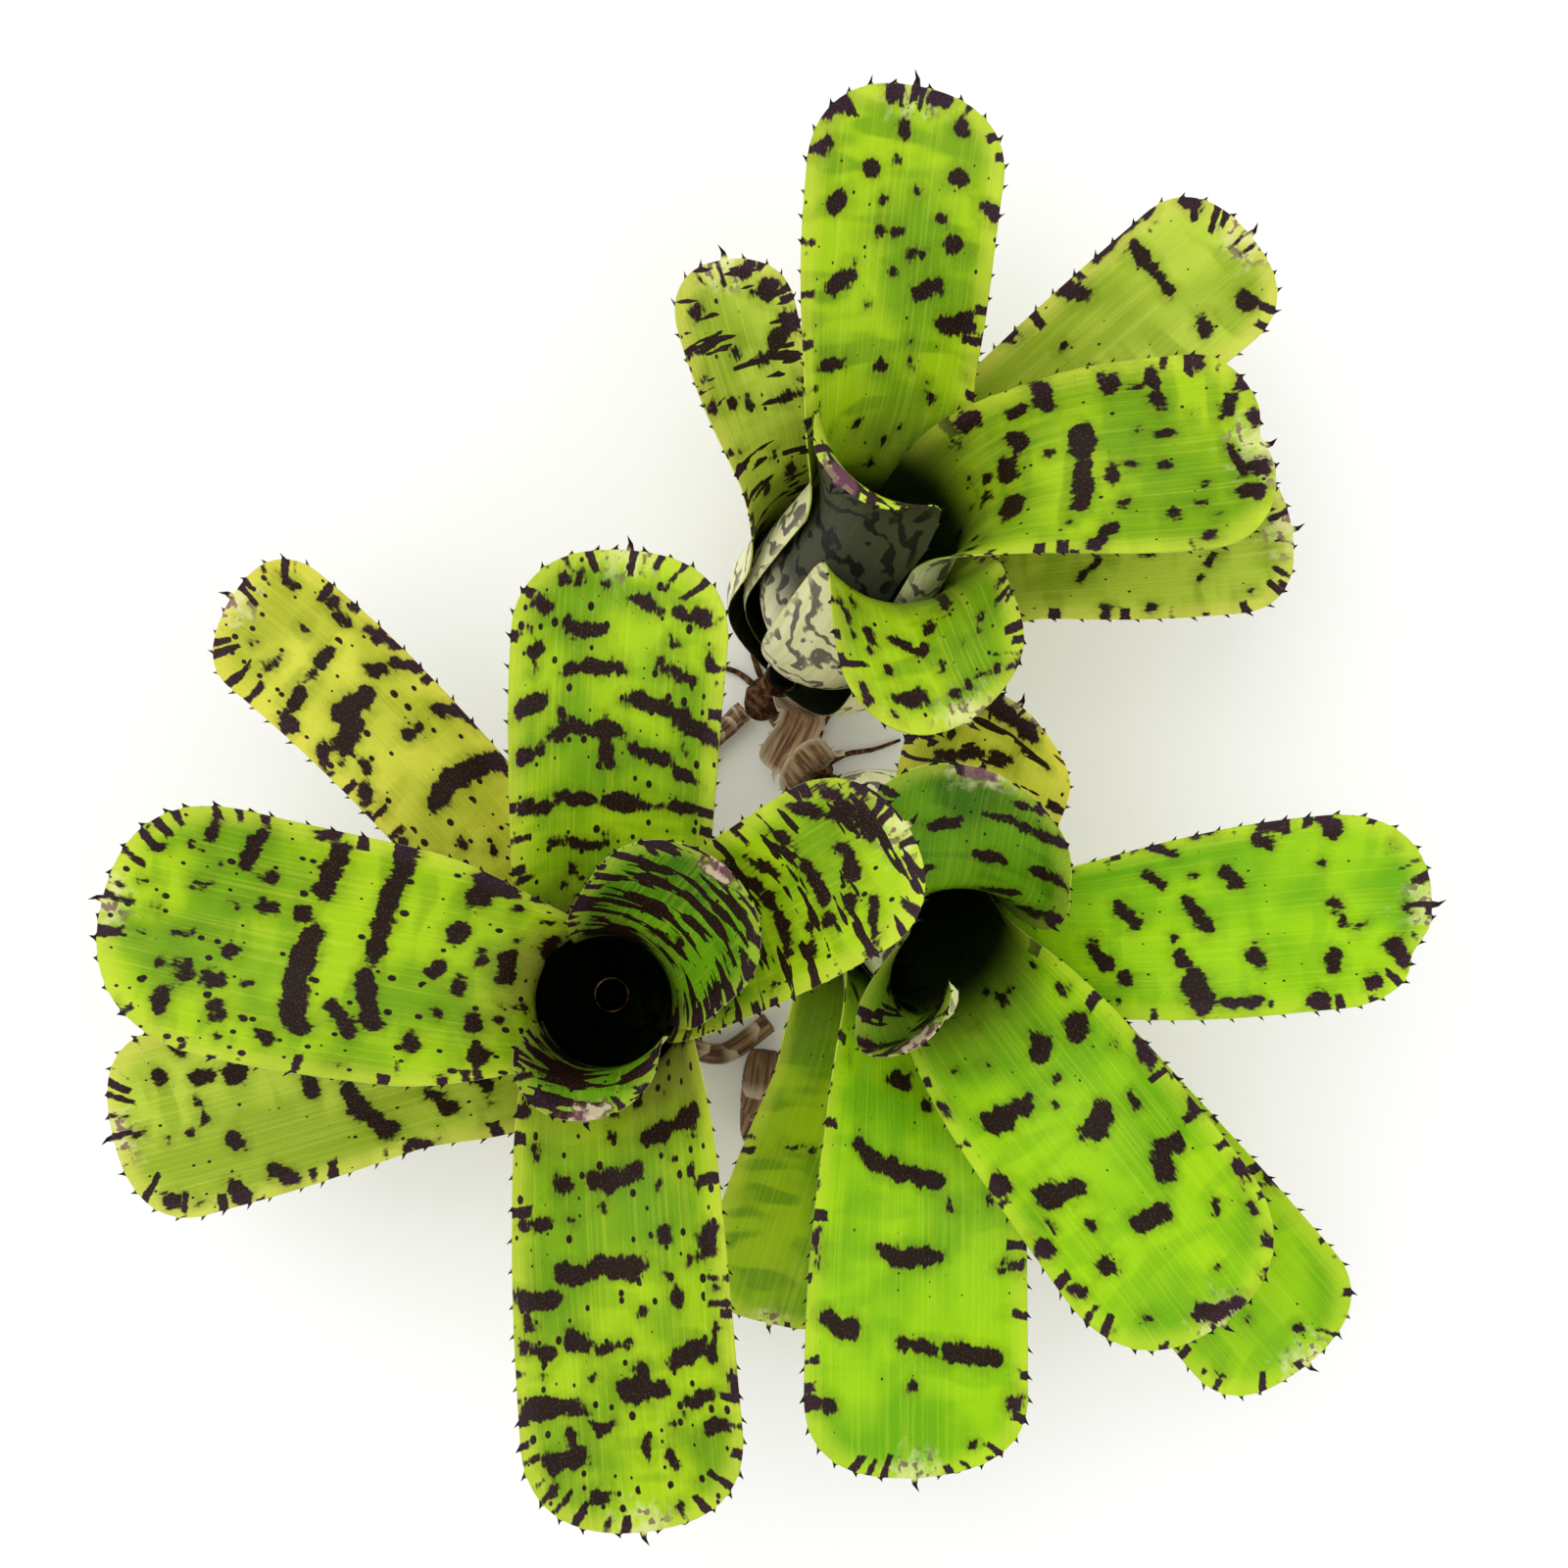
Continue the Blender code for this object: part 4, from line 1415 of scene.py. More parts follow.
    def grow_spine(self, mesh: bmesh.types.BMesh, edge: bmesh.types.BMEdge, sign: float) -> None:
        """One tooth: a broad foot, a narrower middle and a point that leans towards the tip.

        Args:
            mesh: the flat leaf, which is changed.
            edge: the margin edge that it grows from.
            sign: which margin it is on.
        """
        low, high = sorted(edge.verts, key=lambda vert: vert.co.y)
        length = SPINE_LENGTH * self.chance.uniform(*SPINE_SIZES)
        way = (high.co - low.co).normalized()
        out = Vector((sign, 0.0, 0.0))
        out = (out - way * out.dot(way)).normalized()
        middle = (low.co + high.co) / 2
        verts, edges = self.drawn_out(mesh, edge)
        out_to, up_to = SPINE_NECK_AT
        for vert in verts:
            foot = (vert.co - middle) * SPINE_NECK_WIDTH
            vert.co = middle + foot + out * length * out_to + way * length * up_to
        neck = next(item for item in edges if set(item.verts) == set(verts))
        verts, _ = self.drawn_out(mesh, neck)
        out_to, up_to = SPINE_POINT_AT
        point = middle + out * length * out_to + way * length * up_to
        bmesh.ops.pointmerge(mesh, verts=verts, merge_co=point)

    @staticmethod
    def drawn_out(
        mesh: bmesh.types.BMesh, edge: bmesh.types.BMEdge
    ) -> tuple[list[bmesh.types.BMVert], list[bmesh.types.BMEdge]]:
        """Extrudes an edge.

        Args:
            mesh: the flat leaf, which is changed.
            edge: the edge.

        Returns:
            The new points and the new edges.
        """
        made = bmesh.ops.extrude_edge_only(mesh, edges=[edge])["geom"]
        verts = [item for item in made if isinstance(item, bmesh.types.BMVert)]
        edges = [item for item in made if isinstance(item, bmesh.types.BMEdge)]
        return verts, edges

    def rim_place(self, across: float, place: float) -> Triple:
        """Where a point of the flat leaf lies from its margin.

        Args:
            across: distance to the side of the middle line.
            place: length along the leaf.

        Returns:
            Length along the margin, distance to it, and distance to the tip.
        """
        line = self.line
        full = self.leaf.width / 2
        rounding = line.rounding()
        total = rounding + full * math.pi / 2
        if place < rounding:
            run = place
            edge = line.half_width(place) - abs(across)
        else:
            run = total - full * math.atan2(abs(across), max(place - rounding, 1e-4))
            reach = line.blade_length - rounding
            share = (abs(across) / full) ** TIP_ROUNDNESS + ((place - rounding) / reach) ** TIP_ROUNDNESS
            edge = (1.0 - share ** (1 / TIP_ROUNDNESS)) * min(full, reach)
        if across < 0.0:
            run = 2 * total - run
        tip = math.hypot(across, line.blade_length - place)
        return run, max(edge, 0.0), tip

    def notch(self, across: float, place: float) -> float:
        """How far the tip is eaten back.

        Args:
            across: distance to the side of the middle line.
            place: length along the leaf.

        Returns:
            The depth of the bite there, in millimetres.
        """
        back = 0.0
        near = smooth((place - self.line.rounding()) / (self.line.blade_length - self.line.rounding()))
        for centre, depth, width in self.leaf.notches:
            away = (across - centre * self.leaf.width / 2) / width
            back += depth * math.exp(-away * away) * near
        return back

    def build(self, skin: bpy.types.Material) -> bpy.types.Object:
        """Bends the slab into the leaf and stores what its finish reads.

        Args:
            skin: its finish.

        Returns:
            The leaf.
        """
        mesh = self.pattern()
        plan_layer = mesh.verts.layers.float_vector.new("leaf_plan")
        rim_layer = mesh.verts.layers.float_vector.new("leaf_rim")
        mark_layer = mesh.verts.layers.float_vector.new("leaf_mark")
        line = self.line
        flat = np.array([vert.co[:2] for vert in mesh.verts])
        depths = self.mark_depths(flat[:, 0], flat[:, 1])
        for vert, depth in zip(mesh.verts, depths):
            across, place, side = vert.co
            half = line.half_width(place)
            over = max(abs(across) - half, 0.0)
            past = max(place - line.blade_length, 0.0)
            spine = max(over / SPINE_LENGTH, past / END_SPINE_LENGTH)
            vert[plan_layer] = (across, place, 0.0)
            vert[rim_layer] = self.rim_place(across, place)
            vert[mark_layer] = (depth, spine, side * 2.0)
            vert.co = self.bent(across, place - self.notch(across, place), side, half, spine)
        made = finish_piece(mesh, f"{self.leaf.name}_skin", skin)
        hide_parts(self.leaf.name)
        return made

    def bent(self, across: float, place: float, side: float, half: float, spine: float) -> Vector:
        """Where a point of the slab lies on the finished leaf, in millimetres.

        Args:
            across: distance to the side of the middle line.
            place: length along the leaf.
            side: which face it is on, from -0.5 to 0.5.
            half: half the leaf's width there.
            spine: how far out on a spine it is, as a share of the spine.

        Returns:
            The place.
        """
        spot, normal = self.line.surface(across, place)
        share = (across / max(RIPPLE_NARROWEST, half)) ** 2
        turn = place / RIPPLE_PITCH + self.phase + (RIPPLE_OFFSET if across > 0 else 0.0)
        wave = RIPPLE * clamp(place / RIPPLE_FROM) * share * math.sin(turn)
        body = blend(SHEATH_THICKNESS, BLADE_THICKNESS, smooth(place / BLADE_THICKENS_OVER))
        inner = smooth((half - abs(across)) / MARGIN_FADE)
        thick = blend(MARGIN_THICKNESS, body, inner) * (1.0 - SPINE_THINNING * min(spine, 1.0))
        placed = spot + normal * side * thick + Vector((0.0, 0.0, wave))
        placed.z = min(placed.z, HIGHEST)
        return placed


@dataclass
class Rosette:
    """One rosette.

    Attributes:
        tank: its cup.
        leaves: its leaves, dead ones too.
        roots: heading and length of each root.
    """

    tank: Tank
    leaves: tuple[Leaf, ...]
    roots: tuple[Plan, ...]

    def dress(self, wood: bpy.types.Material, paper: bpy.types.Material) -> list[bpy.types.Object]:
        """Builds every piece of the rosette in its finish.

        Args:
            wood: finish of stem and roots.
            paper: finish of dead leaves.

        Returns:
            The pieces.
        """
        made = []
        for leaf in self.leaves:
            fine = FineLeaf(self.tank, leaf)
            if leaf.name.startswith(DEAD_LEAF):
                piece = fine.build(paper)
            else:
                seed = float(fine.chance.randint(0, 90))
                piece = fine.build(LeafSkin(f"{leaf.name}_finish", leaf.marks, seed).material())
            made.append(piece)
            LOG.info("built %s with %d faces", piece.name, len(piece.data.polygons))
        made.append(Stem(self.tank, self.roots).build(wood))
        return made


@dataclass
class Stem:
    """The short scarred stem of a rosette, cut flat below, with its wiry roots.

    Attributes:
        tank: the cup that stands on it.
        roots: heading and length of each root.
        scar_pitch, scar_depth: distance between the rings that fallen leaves left, and their depth.
        scar_from, scar_to: where a ring's groove begins and ends, as shares of that distance.
        crown_height, crown_cap, crown_share: how far below its top the stem is at full width, how
            far below it the shoulder lies, and the shoulder's share of that width.
        rings_to, cut_off: how far below the ground the rings and the uncut stem go.
        sides: how many sides the turned stem has.
        root_sides, root_steps: how finely a root is divided, round it and along it.
        root_radius, root_tip: its radius at either end.
        root_thinning: its radius at its thinnest, as a share of what its place gives.
        root_wander: how far it strays to a side.
        root_start: how far from the axis it comes out.
        clearance: how far it lies above the ground.
    """

    tank: Tank
    roots: tuple[Plan, ...]
    scar_pitch: float = 1.9
    scar_depth: float = 0.28
    scar_from: float = 0.35
    scar_to: float = 0.9
    crown_height: float = 2.0
    crown_cap: float = 0.4
    crown_share: float = 0.6
    rings_to: float = 1.5
    cut_off: float = 6.0
    sides: int = 48
    root_sides: int = 8
    root_steps: int = 18
    root_radius: float = 0.9
    root_tip: float = 0.4
    root_thinning: float = 0.9
    root_wander: float = 2.2
    root_start: float = 2.0
    clearance: float = 0.02

    def build(self, skin: bpy.types.Material) -> bpy.types.Object:
        """Turns the stem, cuts it flat and adds the roots.

        Args:
            skin: its finish.

        Returns:
            The stem.
        """
        mesh = bmesh.new()
        verts = [mesh.verts.new((radius, 0.0, height)) for radius, height in self.profile()]
        edges = [mesh.edges.new(pair) for pair in zip(verts, verts[1:])]
        bmesh.ops.spin(
            mesh, geom=verts + edges, axis=(0, 0, 1), cent=(0, 0, 0),
            angle=2 * math.pi, steps=self.sides, use_merge=True,
        )
        bmesh.ops.remove_doubles(mesh, verts=mesh.verts[:], dist=1e-4)
        turn = Vector((0, 0, 1)).rotation_difference(self.tank.axis()).to_matrix().to_4x4()
        bmesh.ops.transform(mesh, matrix=Matrix.Translation(self.tank.base()) @ turn, verts=mesh.verts[:])
        cut = bmesh.ops.bisect_plane(
            mesh, geom=mesh.verts[:] + mesh.edges[:] + mesh.faces[:], plane_co=(0, 0, 0),
            plane_no=(0, 0, -1), clear_outer=True,
        )
        rim = [item for item in cut["geom_cut"] if isinstance(item, bmesh.types.BMEdge)]
        bmesh.ops.holes_fill(mesh, edges=rim)
        chance = random.Random(f"{SEED} {self.tank.name}")
        for heading, length in self.roots:
            self.add_root(mesh, heading, length, chance)
        made = finish_piece(mesh, f"stem_{self.tank.name}_bark", skin)
        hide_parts(f"stem_{self.tank.name}")
        LOG.info("built %s with %d roots", made.name, len(self.roots))
        return made

    def profile(self) -> list[Plan]:
        """Draws the stem's outline, with a ring for each fallen leaf.

        Returns:
            Radius and height of each point, from the top down.
        """
        top = self.tank.bottom(0) + STEM_INTO_CUP
        height = top - self.crown_height
        points = [
            (0.0, top),
            (STEM_RADIUS * self.crown_share, top - self.crown_cap),
            (STEM_RADIUS - self.scar_depth, height),
        ]
        while height > -self.rings_to:
            foot = smooth((STEM_FOOT_HEIGHT - height) / STEM_FOOT_HEIGHT)
            radius = blend(STEM_RADIUS, STEM_FOOT_RADIUS, foot)
            points.append((radius, height - self.scar_from * self.scar_pitch))
            points.append((radius - self.scar_depth, height - self.scar_to * self.scar_pitch))
            height -= self.scar_pitch
        return points + [(STEM_FOOT_RADIUS, -self.cut_off), (0.0, -self.cut_off)]

    def add_root(
        self, mesh: bmesh.types.BMesh, heading: float, length: float, chance: random.Random
    ) -> None:
        """One root: a thin tapering tube that wanders out over the ground.

        Args:
            mesh: the stem, which is changed.
            heading: the way it runs, from +X towards +Y.
            length: how far it runs.
            chance: where its wandering comes from.
        """
        angle = math.radians(heading)
        way = Vector((math.cos(angle), math.sin(angle), 0.0))
        aside = Vector((-way.y, way.x, 0.0))
        knots = []
        for share in (0.0, 1 / 3, 2 / 3, 1.0):
            drift = chance.uniform(-self.root_wander, self.root_wander) * share
            knots.append(self.tank.base() + way * (self.root_start + length * share) + aside * drift)
        centres = []
        radii = []
        for step in range(self.root_steps + 1):
            share = step / self.root_steps
            radius = blend(self.root_radius, self.root_tip, share)
            spot = along_curve(knots, share)
            centres.append(Vector((spot.x, spot.y, radius + self.clearance)))
            radii.append(radius * chance.uniform(self.root_thinning, 1.0))
        add_tube(mesh, centres, radii, self.root_sides)


def along_curve(knots: Sequence[Vector], share: float) -> Vector:
    """Finds a point on the smooth curve through some points.

    Args:
        knots: the points.
        share: how far along the curve, from nought to one.

    Returns:
        The point.
    """
    span = share * (len(knots) - 1)
    index = min(int(span), len(knots) - 2)
    t = span - index
    a, b, c, d = (Vector(knots[min(max(index + k, 0), len(knots) - 1)]) for k in (-1, 0, 1, 2))
    bend = 2 * a - 5 * b + 4 * c - d
    twist = 3 * b - a - 3 * c + d
    return 0.5 * (2 * b + (c - a) * t + bend * t * t + twist * t ** 3)


def add_tube(
    mesh: bmesh.types.BMesh, centres: Sequence[Vector], radii: Sequence[float], sides: int
) -> None:
    """Adds a closed round bar to a mesh.

    Args:
        mesh: the mesh, which is changed.
        centres: where each ring of the bar stands.
        radii: how wide each ring is.
        sides: how many points a ring has.
    """
    loops = []
    ends = []
    for index, (centre, radius) in enumerate(zip(centres, radii)):
        before = centres[max(index - 1, 0)]
        after = centres[min(index + 1, len(centres) - 1)]
        turn = Vector((0, 0, 1)).rotation_difference((after - before).normalized()).to_matrix().to_4x4()
        made = bmesh.ops.create_circle(mesh, segments=sides, radius=radius)["verts"]
        bmesh.ops.transform(mesh, matrix=Matrix.Translation(centre) @ turn, verts=made)
        loops.append(list({edge for vert in made for edge in vert.link_edges}))
        ends.append(made)
    for first, second in zip(loops, loops[1:]):
        bmesh.ops.bridge_loops(mesh, edges=first + second)
    for verts in (ends[0], ends[-1]):
        bmesh.ops.contextual_create(mesh, geom=verts)


@dataclass
class Stolon:
    """A creeping shoot wrapped in overlapping papery scales.

    Attributes:
        name: the solid that it stands for.
        path: points that it runs through, seen from above.
        height: how far its middle lies above the ground.
        core, coat: radius of the shoot and of its scales, by share of its length.
        core_step, core_sides, core_edge: how finely the shoot is divided, and how far from any
            bleached edge its finish takes it to be.
        scale_length: how far apart the scales begin.
        scale_rows, scale_columns: how finely a scale is divided.
        scale_wrap: how far round the shoot a scale reaches to either side, in radians.
        scale_turn, scale_lean: how far a scale may turn round the shoot, and how far half of them
            turn besides.
        overlap: length of a scale, as a share of the distance between two.
        taper, taper_from, taper_over: how much narrower its point is, and over what shares of it.
        thickness, proud, seat: how thick it is, how far its two ends stand out, and how far in it sits.
        look: share of the shoot over which its direction is taken.
        pattern_length, pattern_shift, pattern_edge: how its finish runs along it, from one scale to
            the next, and in from its free end.
    """

    name: str
    path: tuple[Plan, ...]
    height: float = 3.2
    core: Callable[[float], float] = lambda share: 1.9
    coat: Callable[[float], float] = lambda share: 2.5
    core_step: float = 1.6
    core_sides: int = 16
    core_edge: float = 4.0
    scale_length: float = 6.5
    scale_rows: int = 9
    scale_columns: int = 14
    scale_wrap: float = 2.9
    scale_turn: float = 0.6
    scale_lean: float = math.pi * 0.35
    overlap: float = 1.55
    taper: float = 0.86
    taper_from: float = 0.45
    taper_over: float = 0.55
    thickness: float = 0.22
    proud: Plan = (0.05, 0.32)
    seat: float = 0.3
    look: float = 0.02
    pattern_length: float = 9.0
    pattern_shift: float = 60.0
    pattern_edge: float = 6.0

    def spot(self, share: float) -> Vector:
        """Centre of the shoot at a share of its length."""
        knots = [Vector((x, y, self.height)) for x, y in self.path]
        return along_curve(knots, clamp(share))

    def length(self) -> float:
        """Length of the shoot."""
        knots = [Vector(point) for point in self.path]
        return sum((b - a).length for a, b in zip(knots, knots[1:]))

    def build(self, skin: bpy.types.Material) -> bpy.types.Object:
        """Makes the core and lays the scales over it from the foot to the tip.

        Args:
            skin: its finish.

        Returns:
            The shoot.
        """
        mesh = bmesh.new()
        layers = [mesh.verts.layers.float_vector.new(key) for key in ("leaf_plan", "leaf_rim")]
        steps = max(8, round(self.length() / self.core_step))
        shares = [step / steps for step in range(steps + 1)]
        add_tube(mesh, [self.spot(s) for s in shares], [self.core(s) for s in shares], self.core_sides)
        for vert in mesh.verts:
            vert[layers[0]] = (vert.co.x, vert.co.y, 0.0)
            vert[layers[1]] = (0.0, self.core_edge, 0.0)
        chance = random.Random(f"{SEED} {self.name}")
        count = max(1, round(self.length() / self.scale_length))
        for number in range(count):
            self.add_scale(mesh, number / count, count, chance)
        made = finish_piece(mesh, f"{self.name}_scales", skin)
        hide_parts(self.name)
        LOG.info("built %s with %d scales", made.name, count)
        return made

    def add_scale(
        self, mesh: bmesh.types.BMesh, start: float, count: int, chance: random.Random
    ) -> None:
        """One scale: a pointed sheet wrapped round the shoot, a little proud of it at its free end.

        Args:
            mesh: the shoot, which is changed.
            start: where the scale begins, as a share of the shoot.
            count: how many scales the shoot has.
            chance: where its turn round the shoot comes from.
        """
        flat = slab(self.scale_rows, self.scale_columns)
        for vert in flat.verts:
            ahead = vert.co.y / (self.scale_rows - 1)
            vert.co.y = ahead
            vert.co.x *= 1.0 - self.taper * smooth((ahead - self.taper_from) / self.taper_over)
        thicken(flat)
        turn = chance.uniform(-self.scale_turn, self.scale_turn)
        turn += self.scale_lean if chance.random() < 0.5 else 0.0
        plan_layer = flat.verts.layers.float_vector.new("leaf_plan")
        rim_layer = flat.verts.layers.float_vector.new("leaf_rim")
        for vert in flat.verts:
            across, ahead, side = vert.co
            share = min(start + ahead * self.overlap / count, 1.0)
            way = (self.spot(share + self.look) - self.spot(share - self.look)).normalized()
            aside = Vector((0.0, 0.0, 1.0)).cross(way).normalized()
            lift = way.cross(aside)
            angle = across * self.scale_wrap + turn
            radius = self.coat(share) - self.seat + blend(*self.proud, ahead) + side * self.thickness
            vert.co = self.spot(share) + (lift * math.cos(angle) + aside * math.sin(angle)) * radius
            width = self.scale_wrap * self.coat(share)
            margin = min((1.0 - abs(across)) * width, (1.0 - ahead) * self.pattern_edge)
            run = ahead * self.pattern_length + start * self.pattern_shift
            vert[plan_layer] = (across * width, run, 0.0)
            vert[rim_layer] = (0.0, margin, 0.0)
        joined = bpy.data.meshes.new("scale")
        flat.to_mesh(joined)
        flat.free()
        mesh.from_mesh(joined)
        bpy.data.meshes.remove(joined)


@dataclass(frozen=True)
class Lamp:
    """A large square soft lamp that faces the clump.

    Attributes:
        name: the lamp's name.
        place: where it hangs, in metres.
        size: length of a side, in metres.
        power: what it gives, in watts.
        aim: height above the ground that it faces, in metres.
    """

    name: str
    place: Triple
    size: float
    power: float
    aim: float = 0.05

    def build(self) -> None:
        """Hangs the lamp."""
        light = bpy.data.lights.new(self.name, "AREA")
        light.shape = "SQUARE"
        light.size = self.size
        light.energy = self.power
        lamp = bpy.data.objects.new(self.name, light)
        lamp.location = self.place
        facing = Vector((0.0, 0.0, self.aim)) - Vector(self.place)
        lamp.rotation_euler = facing.to_track_quat("-Z", "Y").to_euler()
        bpy.context.scene.collection.objects.link(lamp)


@dataclass(frozen=True)
class Studio:
    """Plain pale floor, soft light and the camera that looks straight down on the clump.

    Attributes:
        eye: where the camera hangs, in millimetres.
        sensor: width of the camera's sensor.
        focal: its focal length.
        nearest: how near it still sees, in metres.
        floor_size, floor_drop: half the floor's width, and how far it lies below the feet, in metres.
        floor_light, floor_dark: the two tones that drift over the floor.
        sky: strength of the even light.
        lamps: the soft lamps.
    """

    eye: Triple = (-7.0, -3.0, 445.0)
    sensor: float = 36.0
    focal: float = 1900.0 / 1600.0 * 36.0
    nearest: float = 0.01
    floor_size: float = 3.0
    floor_drop: float = 0.0002
    floor_light: Rgba = paint(250, 250, 250)
    floor_dark: Rgba = paint(244, 245, 246)
    sky: float = 0.86
    lamps: tuple[Lamp, ...] = (
        Lamp("key_softbox", (-0.35, 0.30, 0.95), 0.9, 3.6),
        Lamp("fill_softbox", (0.55, -0.35, 0.80), 0.8, 1.6),
    )

    FLOOR_DRIFT = Grain(0.01, 0.01, 0.01, detail=1.0)
    FLOOR_COVER = 0.1
    FLOOR_ROUGHNESS = 0.7

    def build(self) -> None:
        """Adds floor, lights and camera."""
        self.add_floor()
        self.add_sky()
        for lamp in self.lamps:
            lamp.build()
        self.add_camera()
        bpy.context.scene.view_settings.view_transform = "Standard"

    def add_floor(self) -> None:
        """A wide matte sheet under the feet."""
        mesh = bmesh.new()
        bmesh.ops.create_grid(mesh, x_segments=1, y_segments=1, size=self.floor_size)
        data = bpy.data.meshes.new("floor")
        mesh.to_mesh(data)
        mesh.free()
        sheet = NodeSheet("floor_paper")
        drift = sheet.noise(sheet.place(), self.FLOOR_DRIFT)
        tone = sheet.cover(drift, self.FLOOR_COVER, self.floor_light, self.floor_dark)
        data.materials.append(sheet.finish(tone, self.FLOOR_ROUGHNESS))
        floor = bpy.data.objects.new("floor", data)
        floor.location.z = -self.floor_drop
        bpy.context.scene.collection.objects.link(floor)

    def add_sky(self) -> None:
        """Even white light from all round."""
        world = bpy.data.worlds.new("studio_white")
        world.use_nodes = True
        background = next(node for node in world.node_tree.nodes if node.type == "BACKGROUND")
        background.inputs["Color"].default_value = (1.0, 1.0, 1.0, 1.0)
        background.inputs["Strength"].default_value = self.sky
        bpy.context.scene.world = world

    def add_camera(self) -> None:
        """The camera hangs above the clump, with its top edge towards +Y."""
        lens = bpy.data.cameras.new("camera")
        lens.sensor_width = self.sensor
        lens.lens = self.focal
        lens.clip_start = self.nearest
        camera = bpy.data.objects.new("camera", lens)
        camera.location = Vector(self.eye) * MM
        bpy.context.scene.collection.objects.link(camera)
        bpy.context.scene.camera = camera
